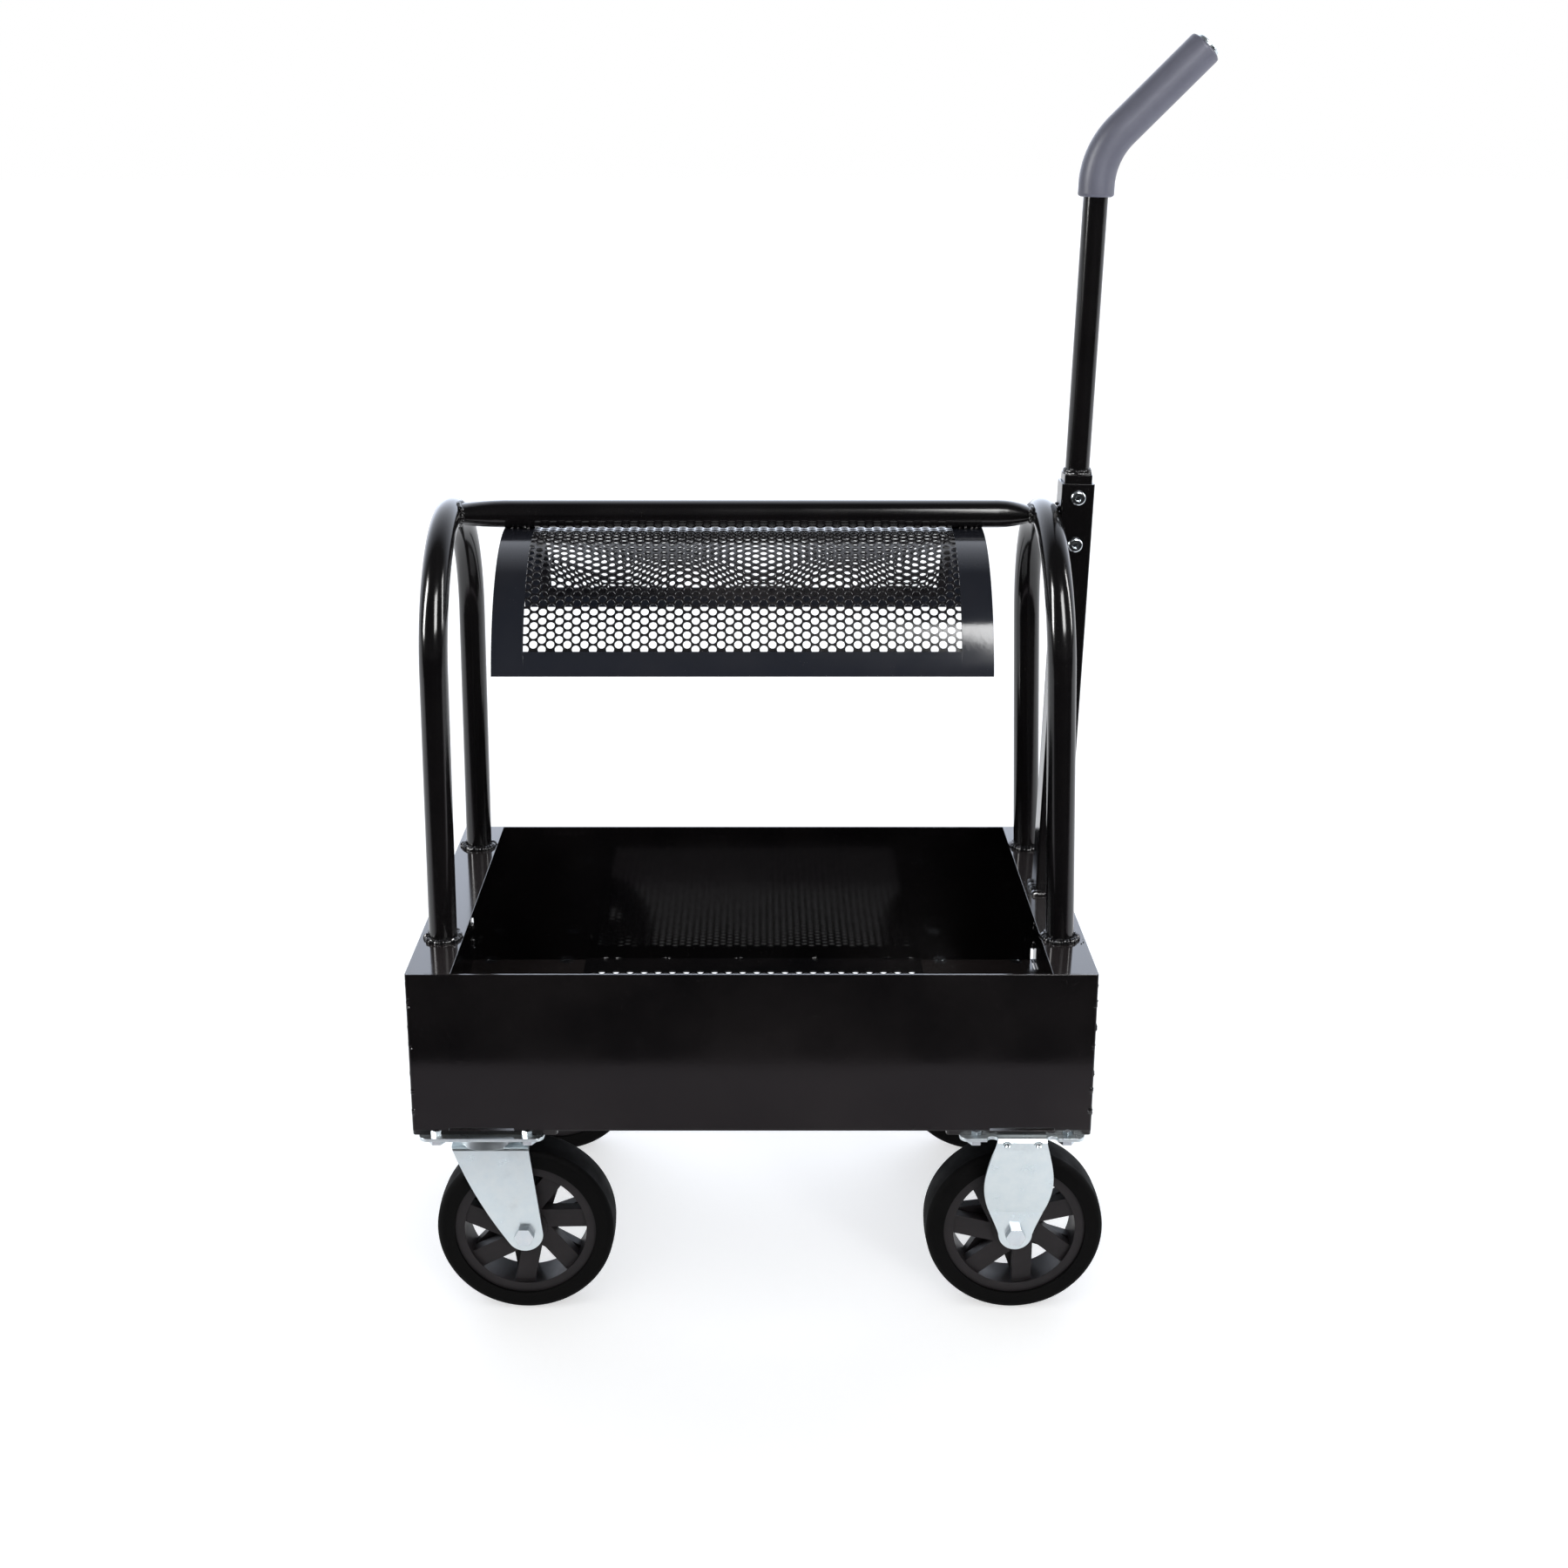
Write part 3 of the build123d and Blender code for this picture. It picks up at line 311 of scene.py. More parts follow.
# The panels and end plates are lightened on faces that look up: dust, and a painted sheen.
paint_panel = black_paint("black_paint_panel", peel=0.10, dust=0.14, rounding=1.0 * MM, settled_dust_and_sheen=0.55)
paint_tube = black_paint("black_paint_tube", peel=0.07, dust=0.08, gloss=(0.13, 0.19))
paint_plate = black_paint("black_paint_plate", peel=0.12, dust=0.20, gloss=(0.14, 0.26), settled_dust_and_sheen=0.80)
paint_strip = black_paint("black_paint_strip", peel=0.22, dust=0.22, rounding=0.3 * MM,
                          gloss=(0.08, 0.20), base=(0.0130, 0.0152, 0.0215))
paint_sheet = black_paint("black_paint_sheet", peel=0.14, dust=0.40, rounding=0.3 * MM,
                          gloss=(0.10, 0.24), base=(0.0060, 0.0062, 0.0078))
paint_weld = black_paint("black_paint_weld", peel=1.0, dust=0.10, rounding=0.2 * MM,
                         gloss=(0.08, 0.16), base=(0.0060, 0.0055, 0.0060))
zinc = zinc_plate("zinc_plate")
zinc_fastener = zinc_plate("zinc_plate_fastener", base=(0.55, 0.61, 0.66), tint=(0.66, 0.68, 0.70),
                           gloss=(0.12, 0.24))
steel = bare_steel("steel")
rubber = tyre_rubber("tyre_rubber")
plastic = wheel_plastic("wheel_plastic")
bearing_nylon = nylon("nylon")
foam = grip_foam("grip_foam")

SLOT_FINISH = {
    "black_paint": paint_panel,
    "zinc_plate": zinc,
    "steel": steel,
    "tyre_rubber": rubber,
    "wheel_plastic": plastic,
    "nylon": bearing_nylon,
    "grip_foam": foam,
}
TUBES = ("left_hoop", "right_hoop", "top_bar", "handle_strut", "handle_insert", "handle_tube")
FASTENER_ENDINGS = ("_bolt", "_nut", "_bolts", "_nuts", "_kingpin")


def set_finish(obj, material):
    obj.data.materials.clear()
    obj.data.materials.append(material)


for part in frame["record"]["subparts"]:
    label = part["node"]
    finish = SLOT_FINISH[part["material_slot"]]
    if label in TUBES:
        finish = paint_tube
    elif label.endswith("_end_plate"):
        finish = paint_plate
    elif label.startswith("saddle_") and label.endswith("_strip"):
        finish = paint_strip
    elif label.startswith("saddle_"):
        finish = paint_sheet
    elif label.endswith(FASTENER_ENDINGS):
        finish = zinc_fastener
    set_finish(nodes[label], finish)


# === mesh helpers =============================================================================
def inside_box(p):
    """Keeps a point inside the CAD model's own box."""
    return Vector([min(max(v, lo), hi) for v, lo, hi in zip(p, cad_lo, cad_hi)])


def smooth_by_angle(mesh, degrees=38.0):
    mesh.polygons.foreach_set("use_smooth", [True] * len(mesh.polygons))
    mesh.set_sharp_from_angle(angle=math.radians(degrees))


def new_piece(name, mesh, material):
    """A new piece of the wagon body."""
    obj = bpy.data.objects.new(name, mesh)
    bpy.context.scene.collection.objects.link(obj)
    set_finish(obj, material)
    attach(obj, "wagon")
    return obj


def piece_from_bmesh(name, bm, material, degrees=60.0):
    bmesh.ops.recalc_face_normals(bm, faces=bm.faces)
    mesh = bpy.data.meshes.new(name)
    bm.to_mesh(mesh)
    bm.free()
    smooth_by_angle(mesh, degrees)
    return new_piece(name, mesh, material)


def middle_of(values):
    return (min(values) + max(values)) / 2


def vertices_of(label, wanted):
    """The vertices of a CAD node that pass a test."""
    return [v.co for v in nodes[label].data.vertices if wanted(v.co)]


# === perforated sheets ========================================================================
HOLE_RADIUS = 3.6 * MM
COLUMN_SPACING = 7.5 * MM
HOLE_PITCH = 8.66 * MM
HOLE_SIDES = 12
STAGGER = 0.25
EDGE_STEP = 6.0 * MM
SHEET_THICKNESS = 1.5 * MM
SADDLE_SHEET_RADIUS = 135.45 * MM
SADDLE_HOLES_HALF_X = 195.5 * MM
SADDLE_PLAIN_EDGE = 2.5 * MM
FLOOR_HOLES_HALF_X = 175.0 * MM
FLOOR_HOLES_HALF_Y = 163.0 * MM
TRIANGLES_INSIDE = 1
MERGE_DISTANCE = 1e-5


def perforated_sheet(half_u, half_v, holes_u, holes_v, thickness, place):
    """A sheet of 2 half_u by 2 half_v with a staggered hole pattern inside the given half sizes.
    place(u, v, depth) puts a flat point, and how far it lies under the outer face, in space."""
    columns = int(2 * (holes_u - HOLE_RADIUS) / COLUMN_SPACING) + 1
    rows = int(2 * (holes_v - HOLE_RADIUS) / HOLE_PITCH)
    points, rings = [], []
    for i in range(columns):
        u = (i - (columns - 1) / 2) * COLUMN_SPACING
        shift = STAGGER if i % 2 else -STAGGER
        for j in range(rows):
            v = (j - (rows - 1) / 2 + shift) * HOLE_PITCH
            first = len(points)
            for k in range(HOLE_SIDES):
                turn = 2 * math.pi * (k + 0.5) / HOLE_SIDES
                points.append((u + HOLE_RADIUS * math.cos(turn), v + HOLE_RADIUS * math.sin(turn)))
            rings.append(list(range(first, len(points))))
    first = len(points)
    steps_u = round(2 * half_u / EDGE_STEP)
    steps_v = round(2 * half_v / EDGE_STEP)
    for k in range(steps_u):
        points.append((-half_u + 2 * half_u * k / steps_u, -half_v))
    for k in range(steps_v):
        points.append((half_u, -half_v + 2 * half_v * k / steps_v))
    for k in range(steps_u):
        points.append((half_u - 2 * half_u * k / steps_u, half_v))
    for k in range(steps_v):
        points.append((-half_u, half_v - 2 * half_v * k / steps_v))
    outline = list(range(first, len(points)))
    edges = []
    for ring in (*rings, outline):
        edges += [(ring[k], ring[(k + 1) % len(ring)]) for k in range(len(ring))]
    scaled = [Vector((u / MM, v / MM)) for u, v in points]
    faces = delaunay_2d_cdt(scaled, edges, [], TRIANGLES_INSIDE, MERGE_DISTANCE)[2]
    ring_of = [k // HOLE_SIDES for k in range(len(rings) * HOLE_SIDES)]
    ring_of += [-1 - k for k in range(len(outline))]
    # A triangle with all its corners on one hole's ring lies in the hole and is left out.
    kept = [f for f in faces if len({ring_of[k] for k in f}) > 1]
    count = len(points)
    vertices = [place(u, v, 0.0) for u, v in points] + [place(u, v, thickness) for u, v in points]
    shape = [tuple(f) for f in kept] + [tuple(k + count for k in reversed(f)) for f in kept]
    for ring in rings:
        for k in range(len(ring)):
            a, b = ring[k], ring[(k + 1) % len(ring)]
            shape.append((b, a, a + count, b + count))
    for k in range(len(outline)):
        a, b = outline[k], outline[(k + 1) % len(outline)]
        shape.append((a, b, b + count, a + count))
    mesh = bpy.data.meshes.new("perforated")
    mesh.from_pydata(vertices, [], shape)
    mesh.validate()
    smooth_by_angle(mesh)
    return mesh


strip_lo, strip_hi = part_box("saddle_left_strip")
mesh_lo, mesh_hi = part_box("saddle_mesh")
SADDLE_Y = (strip_lo.y + strip_hi.y) / 2
saddle_half_x = (mesh_hi.x - mesh_lo.x) / 2
saddle_middle_x = (mesh_lo.x + mesh_hi.x) / 2
saddle_axis_z = mesh_hi.z - SADDLE_SHEET_RADIUS
half_width = (mesh_hi.y - mesh_lo.y) / 2
half_arc = SADDLE_SHEET_RADIUS * math.asin(min(1.0, half_width / SADDLE_SHEET_RADIUS))


def on_saddle(u, v, depth):
    turn = v / SADDLE_SHEET_RADIUS
    radius = SADDLE_SHEET_RADIUS - depth
    across = radius * math.sin(turn)
    height = radius * math.cos(turn)
    return (saddle_middle_x + u, SADDLE_Y + across, saddle_axis_z + height)


saddle_sheet = new_piece(
    "saddle_perforated_sheet",
    perforated_sheet(saddle_half_x, half_arc, SADDLE_HOLES_HALF_X, half_arc - SADDLE_PLAIN_EDGE,
                     SHEET_THICKNESS, on_saddle),
    paint_sheet)
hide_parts("saddle_mesh")

floor_lo, floor_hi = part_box("floor_mesh")
floor_x = (floor_lo.x + floor_hi.x) / 2
floor_y = (floor_lo.y + floor_hi.y) / 2


def on_floor(u, v, depth):
    return (floor_x + u, floor_y + v, floor_hi.z - depth)


floor_sheet = new_piece(
    "tray_perforated_floor",
    perforated_sheet((floor_hi.x - floor_lo.x) / 2, (floor_hi.y - floor_lo.y) / 2,
                     FLOOR_HOLES_HALF_X, FLOOR_HOLES_HALF_Y, SHEET_THICKNESS, on_floor),
    paint_sheet)
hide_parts("floor_mesh")


# === weld beads ===============================================================================
# A bead's swell, wander and grain are shares of its radius, and their scales are noise per metre.
# Below, lists of offsets, heights, sizes and runs are in mm.
BEAD_SIDES = 10
BEAD_STEP = 0.9 * MM
BEAD_RIPPLE = 2.8 * MM
RIPPLE_SWELL = 0.28
END_SIZE = 0.35
END_GROWTH = 0.25
LUMP_SCALE = 260
WANDER = 0.35
WANDER_SIDE_SCALE = 180
WANDER_TOP_SCALE = 170
GRAIN = 0.16
GRAIN_SCALE = 700
SEED_REACH = 90
SPATTER_SIZES = (0.35, 0.85)
SPATTER_LIFT = 0.3
SPATTER_NEAREST = 0.45
SPATTER_FROM_END = 38.0 * MM
CIRCLE_STEPS = 48
FOOT_TOLERANCE = 0.5 * MM
random.seed(41)


def resample(points, closed):
    """Points about one bead step apart along a run of straight pieces."""
    ends = points + points[:1] if closed else points
    result = []
    for a, b in zip(ends, ends[1:]):
        count = max(1, round((b - a).length / BEAD_STEP))
        result += [a.lerp(b, k / count) for k in range(count)]
    return result if closed else result + [points[-1]]


def bead(bm, points, radius, up=UP, closed=False, lump=0.42):
    """Adds one lumpy weld bead along a path: ripples where it was stepped along, and blobs."""
    path = resample(points, closed)
    seed = Vector([random.uniform(-SEED_REACH, SEED_REACH) for _ in range(3)])
    count = len(path)
    rings = []
    for i, p in enumerate(path):
        after = path[(i + 1) % count] if closed or i < count - 1 else p
        before = path[i - 1] if closed or i > 0 else p
        along = (after - before).normalized()
        side = along.cross(up).normalized()
        top = side.cross(along)
        size = 1.0 if closed else min(1.0, END_SIZE + END_GROWTH * min(i, count - 1 - i))
        swell = 1 + RIPPLE_SWELL * abs(math.cos(math.pi * i * BEAD_STEP / BEAD_RIPPLE))
        swell += lump * noise.noise((p + seed) * LUMP_SCALE)
        wander = side * noise.noise((p - seed) * WANDER_SIDE_SCALE)
        wander += top * noise.noise((p - seed) * WANDER_TOP_SCALE)
        middle = p + wander * radius * WANDER
        ring = []
        for k in range(BEAD_SIDES):
            turn = 2 * math.pi * k / BEAD_SIDES
            out = side * math.cos(turn) + top * math.sin(turn)
            rough = 1 + GRAIN * noise.noise((p + out * radius + seed) * GRAIN_SCALE)
            ring.append(bm.verts.new(inside_box(middle + out * radius * swell * size * rough)))
        rings.append(ring)
    pairs = list(zip(rings, rings[1:])) + ([(rings[-1], rings[0])] if closed else [])
    for a, b in pairs:
        for k in range(BEAD_SIDES):
            n = (k + 1) % BEAD_SIDES
            bm.faces.new((a[k], a[n], b[n], b[k]))
    if not closed:
        bm.faces.new(rings[0])
        bm.faces.new(reversed(rings[-1]))


def stitch(bm, start, run, radius, up=UP, lump=0.42):
    """Adds a short straight bead."""
    bead(bm, [start, start + run], radius, up=up, lump=lump)


def spatter(bm, centre, spread, count):
    """Small beads of weld spatter round a place. Those that would miss the end's flange are left out."""
    for _ in range(count):
        turn = random.uniform(0, 2 * math.pi)
        away = spread * random.uniform(SPATTER_NEAREST, 1.0)
        size = random.uniform(*SPATTER_SIZES) * MM
        x = centre.x + away * math.cos(turn)
        y = centre.y + away * math.sin(turn)
        at = Vector((x, y, TRAY_TOP + size * SPATTER_LIFT))
        if TRAY_HALF - SPATTER_FROM_END < abs(at.x - TRAY_X) < TRAY_HALF - MM:
            bmesh.ops.create_icosphere(bm, subdivisions=1, radius=size, matrix=Matrix.Translation(at))


def circle(centre, radius):
    """Points on a level circle."""
    side = UP.orthogonal().normalized()
    other = UP.cross(side)
    turns = [2 * math.pi * k / CIRCLE_STEPS for k in range(CIRCLE_STEPS)]
    return [centre + (side * math.cos(t) + other * math.sin(t)) * radius for t in turns]


def stands_on_tray(v):
    return v.z < TRAY_TOP + FOOT_TOLERANCE


def foot_centres(label):
    """The two places where a hoop's legs stand on the tray's flange."""
    low = vertices_of(label, stands_on_tray)
    middle = sum(v.y for v in low) / len(low)
    result = []
    for side in (-1, 1):
        leg = [v for v in low if (v.y - middle) * side > 0]
        x = middle_of([v.x for v in leg])
        y = middle_of([v.y for v in leg])
        result.append(Vector((x, y, TRAY_TOP)))
    return result


# Beads round the hoops' feet, each with lumps laid across it and spatter beside it.
FOOT_BEAD = 3.1 * MM
FOOT_BEAD_OUT = 1.4 * MM
FOOT_BEAD_LIFT = 0.6 * MM
FOOT_LUMPS = 11
FOOT_LUMP_OUT = 2.2 * MM
FOOT_LUMP_LIFT = 0.8 * MM
FOOT_LUMP_HALF = 2.0 * MM
FOOT_LUMP_SIZES = (2.2, 4.0)
FOOT_SPATTER = 16
FOOT_SPATTER_SPREAD = 24.0 * MM

foot_welds = bmesh.new()
for label in ("left_hoop", "right_hoop"):
    for centre in foot_centres(label):
        ring = circle(centre + UP * FOOT_BEAD_LIFT, TUBE_RADIUS + FOOT_BEAD_OUT)
        bead(foot_welds, ring, FOOT_BEAD, closed=True)
        for _ in range(FOOT_LUMPS):
            turn = random.uniform(0, 2 * math.pi)
            out = Vector((math.cos(turn), math.sin(turn), 0))
            across = Vector((-out.y, out.x, 0)) * FOOT_LUMP_HALF
            near = centre + out * (TUBE_RADIUS + FOOT_LUMP_OUT) + UP * FOOT_LUMP_LIFT
            size = random.uniform(*FOOT_LUMP_SIZES) * MM
            bead(foot_welds, [near - across, near + across], size, lump=0.7)
        spatter(foot_welds, centre, FOOT_SPATTER_SPREAD, FOOT_SPATTER)
piece_from_bmesh("weld_hoop_feet", foot_welds, paint_weld)

# Where the top bar meets the hoops. Its squeezed ends are ellipses of these half sizes along Y and Z.
BAR_ENDS = (
    ("left_hoop", 1, 15.0 * MM, 9.9 * MM),
    ("right_hoop", -1, 16.6 * MM, 6.8 * MM),
)
BAR_JOINT_STEPS = 72
BAR_BEAD = 1.9 * MM
BAR_BEAD_OUT = 0.8 * MM
BAR_LUMP = 2.6 * MM
BAR_LUMP_OUT = 0.6 * MM
BAR_LUMP_RUN = 2.0 * MM
BAR_LUMP_HEIGHTS = (-5, -2, 2, 5)
CROWN_DEPTH = 2.0 * MM

bar_lo, bar_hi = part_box("top_bar")
BAR_Y = (bar_lo.y + bar_hi.y) / 2
BAR_Z = (bar_lo.z + bar_hi.z) / 2
bar_welds = bmesh.new()
for label, side, half_y, half_z in BAR_ENDS:
    hoop_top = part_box(label)[1].z
    crown_x = middle_of([v.x for v in vertices_of(label, lambda v: v.z > hoop_top - CROWN_DEPTH)])
    joint = []
    for k in range(BAR_JOINT_STEPS):
        turn = 2 * math.pi * k / BAR_JOINT_STEPS
        height = half_z * math.sin(turn)
        out = math.sqrt(TUBE_RADIUS ** 2 - height ** 2) + BAR_BEAD_OUT
        joint.append(Vector((crown_x + side * out, BAR_Y + half_y * math.cos(turn), BAR_Z + height)))
    bead(bar_welds, joint, BAR_BEAD, up=ALONG_X, closed=True, lump=0.5)
    front = Vector((crown_x + side * (TUBE_RADIUS + BAR_LUMP_OUT), BAR_Y - half_y, BAR_Z))
    for height in BAR_LUMP_HEIGHTS:
        at = front + UP * (height * MM)
        stitch(bar_welds, at, Vector((side, 0, 1)) * BAR_LUMP_RUN, BAR_LUMP, up=ALONG_Y, lump=0.6)
piece_from_bmesh("weld_bar_ends", bar_welds, paint_weld)

# Tacks between the saddle's strips and the top bar.
SADDLE_TACK_OFFSETS = (-8, -3, 3, 7)
SADDLE_TACK_SIDE = 6.5 * MM
SADDLE_TACK_LIFT = 0.5 * MM
SADDLE_TACK_RUN = 3.0 * MM
SADDLE_TACK_SIZES = (2.3, 3.4)

saddle_welds = bmesh.new()
for label in ("saddle_left_strip", "saddle_right_strip"):
    lo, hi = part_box(label)
    strip_x = (lo.x + hi.x) / 2
    for y_side in (-1, 1):
        for offset in SADDLE_TACK_OFFSETS:
            x = strip_x + offset * MM
            at = Vector((x, SADDLE_Y + y_side * SADDLE_TACK_SIDE, hi.z + SADDLE_TACK_LIFT))
            size = random.uniform(*SADDLE_TACK_SIZES) * MM
            stitch(saddle_welds, at, ALONG_X * SADDLE_TACK_RUN, size, lump=0.7)
piece_from_bmesh("weld_saddle_tacks", saddle_welds, paint_weld)

# A bead round three sides of the strut's foot, and tacks between the strut and the right hoop.
STRUT_BEAD = 3.0 * MM
STRUT_BEAD_OUT = 0.8 * MM
STRUT_BEAD_LIFT = 0.5 * MM
STRUT_SPATTER = 12
STRUT_SPATTER_SPREAD = 22.0 * MM
STRUT_TACK = 3.2 * MM
STRUT_TACK_OUT = 0.6 * MM
STRUT_TACK_SIDE = 9.5 * MM
STRUT_TACK_HEIGHTS = (-9, -4, 1, 6)
STRUT_TACK_RUN = Vector((1.2 * MM, 0, 3.0 * MM))
CROWN_REACH = 30.0 * MM

foot = vertices_of("handle_strut", stands_on_tray)
foot_left = min(v.x for v in foot)
foot_front = min(v.y for v in foot)
foot_back = max(v.y for v in foot)
bead_z = TRAY_TOP + STRUT_BEAD_LIFT
bead_left = foot_left - STRUT_BEAD_OUT
bead_right = TRAY_X + TRAY_HALF - MM
bead_front = foot_front - STRUT_BEAD_OUT
bead_back = foot_back + STRUT_BEAD_OUT
round_foot = (
    (bead_right, bead_front),
    (bead_left, bead_front),
    (bead_left, bead_back),
    (bead_right, bead_back),
)
strut_welds = bmesh.new()
bead(strut_welds, [Vector((x, y, bead_z)) for x, y in round_foot], STRUT_BEAD, lump=0.5)
foot_middle = Vector((foot_left, (foot_front + foot_back) / 2, bead_z))
spatter(strut_welds, foot_middle, STRUT_SPATTER_SPREAD, STRUT_SPATTER)
hoop_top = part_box("right_hoop")[1].z
crown = vertices_of(
    "right_hoop", lambda v: v.z > hoop_top - 2 * TUBE_RADIUS and abs(v.y - BAR_Y) < CROWN_REACH)
tack_x = max(v.x for v in crown) + STRUT_TACK_OUT
for y_side in (-1, 1):
    for height in STRUT_TACK_HEIGHTS:
        at = Vector((tack_x, BAR_Y + y_side * STRUT_TACK_SIDE, BAR_Z + height * MM))
        stitch(strut_welds, at, STRUT_TACK_RUN, STRUT_TACK, up=ALONG_Y, lump=0.6)
piece_from_bmesh("weld_strut", strut_welds, paint_weld)

# The lumpy neck between the handle's insert and its tube: two beads, each given by its lift, how far
# it lies outside the tube's radius and its size, with lumps across them. All in mm, turns in degrees.
NECK_RADIUS = 11.0
NECK_BEADS = ((0.4, -0.3, 2.3), (2.6, -0.6, 2.0))
NECK_LUMP_TURNS = (200, 236, 262, 291, 330, 20, 75, 130, 165)
NECK_LUMP_OUT = 10.6
NECK_LUMP_LIFTS = (0.4, 3.4)
NECK_LUMP_HALVES = (0.8, 1.8)
NECK_LUMP_SIZES = (2.2, 3.1)
NECK_DEPTH = 2.0 * MM

tube_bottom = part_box("handle_tube")[0].z
neck = vertices_of("handle_tube", lambda v: v.z < tube_bottom + NECK_DEPTH)
neck_at = Vector((sum(v.x for v in neck) / len(neck), BAR_Y, tube_bottom))
neck_welds = bmesh.new()
for lift, reach, size in NECK_BEADS:
    ring = circle(neck_at + UP * (lift * MM), (NECK_RADIUS + reach) * MM)
    bead(neck_welds, ring, size * MM, closed=True, lump=0.6)
for degrees in NECK_LUMP_TURNS:
    turn = math.radians(degrees)
    out = Vector((math.cos(turn), math.sin(turn), 0))
    lift = random.uniform(*NECK_LUMP_LIFTS) * MM
    at = neck_at + out * NECK_LUMP_OUT * MM + UP * lift
    across = Vector((-out.y, out.x, 0)) * random.uniform(*NECK_LUMP_HALVES) * MM
    size = random.uniform(*NECK_LUMP_SIZES) * MM
    bead(neck_welds, [at - across, at + across + UP * MM], size, lump=0.6)
piece_from_bmesh("weld_handle_neck", neck_welds, paint_weld)

# Stitches along the tray's seams: heights above the panels' lower edge, and places along X and Y.
OUTER_STITCH = 1.1 * MM
OUTER_STITCH_HEIGHTS = (14, 52, 96, 138)
OUTER_STITCH_RUNS = (5, 9)
OUTER_STITCH_IN = 0.5 * MM
OUTER_STITCH_PAST = 0.2 * MM
INNER_STITCH = 2.0 * MM
INNER_STITCH_HEIGHTS = (12, 34, 78, 118)
INNER_STITCH_RUNS = (8, 14)
FLOOR_STITCH = 1.8 * MM
FLOOR_STITCHES_X = (-165, -152, -98, -20, 64, 140, 166)
FLOOR_STITCH_RUNS = (6, 11)
FLOOR_STITCH_IN = 0.4 * MM
FLOOR_STITCH_LIFT = 0.3 * MM
END_STITCHES_Y = (-120, -40, 52, 130)
END_STITCH_RUNS = (10, 16)
END_STITCH_LIFT = 0.4 * MM
LAP_STITCH = 1.5 * MM
LAP_STITCHES_Y = (-150, -60, 30, 125)
LAP_STITCH_RUNS = (8, 12)
LAP_STITCH_LIFT = 0.6 * MM

tray_welds = bmesh.new()
for x_side in (-1, 1):
    for y_side in (-1, 1):
        outer_x = TRAY_X + x_side * (TRAY_HALF - OUTER_STITCH_IN)
        outer_y = y_side * (TRAY_DEPTH_HALF - PANEL + OUTER_STITCH_PAST)
        for height in OUTER_STITCH_HEIGHTS:
            at = Vector((outer_x, outer_y, panel_lo.z + height * MM))
            run = UP * (random.uniform(*OUTER_STITCH_RUNS) * MM)
            stitch(tray_welds, at, run, OUTER_STITCH, up=ALONG_Y)
        inner_x = TRAY_X + x_side * (TRAY_HALF - PANEL)
        inner_y = y_side * (TRAY_DEPTH_HALF - PANEL)
        for height in INNER_STITCH_HEIGHTS:
            at = Vector((inner_x, inner_y, panel_lo.z + height * MM))
            run = UP * (random.uniform(*INNER_STITCH_RUNS) * MM)
            stitch(tray_welds, at, run, INNER_STITCH, up=ALONG_Y)
for y_side in (-1, 1):
    inner_y = y_side * (TRAY_DEPTH_HALF - PANEL - FLOOR_STITCH_IN)
    for x in FLOOR_STITCHES_X:
        at = Vector((TRAY_X + x * MM, inner_y, floor_hi.z + FLOOR_STITCH_LIFT))
        run = ALONG_X * (random.uniform(*FLOOR_STITCH_RUNS) * MM)
        stitch(tray_welds, at, run, FLOOR_STITCH, lump=0.6)
for x_side in (-1, 1):
    inner_x = TRAY_X + x_side * (TRAY_HALF - PANEL)
    for y in END_STITCHES_Y:
        at = Vector((inner_x, y * MM, panel_lo.z + END_STITCH_LIFT))
        run = ALONG_Y * (random.uniform(*END_STITCH_RUNS) * MM)
        stitch(tray_welds, at, run, INNER_STITCH, lump=0.5)
    lap_x = floor_lo.x if x_side < 0 else floor_hi.x
    for y in LAP_STITCHES_Y:
        at = Vector((lap_x, y * MM, floor_lo.z + LAP_STITCH_LIFT))
        run = ALONG_Y * (random.uniform(*LAP_STITCH_RUNS) * MM)
        stitch(tray_welds, at, run, LAP_STITCH, lump=0.5)
piece_from_bmesh("weld_tray_seams", tray_welds, paint_weld)


# === foam grip ================================================================================
GRIP_RADIUS = 16.0 * MM
GRIP_BORE = 11.05 * MM
GRIP_SIDES = 64
CORNER_ABOVE_TRAY = 692.0 * MM
STRUT_FOOT_X = 289.1 * MM
LEAN = math.radians(1.3)
REACH = 126.0 * MM
GRIP_ANGLE = math.radians(45.0)
BEND_RADIUS = 68.0 * MM
BELOW_CORNER = 37.5 * MM
END_ROUND = 3.0  # in rings, which are about a millimetre apart
END_ROUND_DEPTH = 0.8 * MM
GRIP_SHY = 0.05 * MM
DENT = 0.04 * MM
DENT_SCALE = 30
BORE_STEP = 4

up_tube = Vector((math.sin(LEAN), 0, math.cos(LEAN)))
up_grip = Vector((math.sin(GRIP_ANGLE), 0, math.cos(GRIP_ANGLE)))
corner = Vector((TRAY_X + STRUT_FOOT_X, BAR_Y, TRAY_TOP)) + up_tube * (CORNER_ABOVE_TRAY / math.cos(LEAN))
tangent = BEND_RADIUS * math.tan((GRIP_ANGLE - LEAN) / 2)
bend_from = corner - up_tube * tangent
bend_to = corner + up_grip * tangent
inward = Vector((math.cos(LEAN), 0, -math.sin(LEAN)))
bend_centre = bend_from + inward * BEND_RADIUS


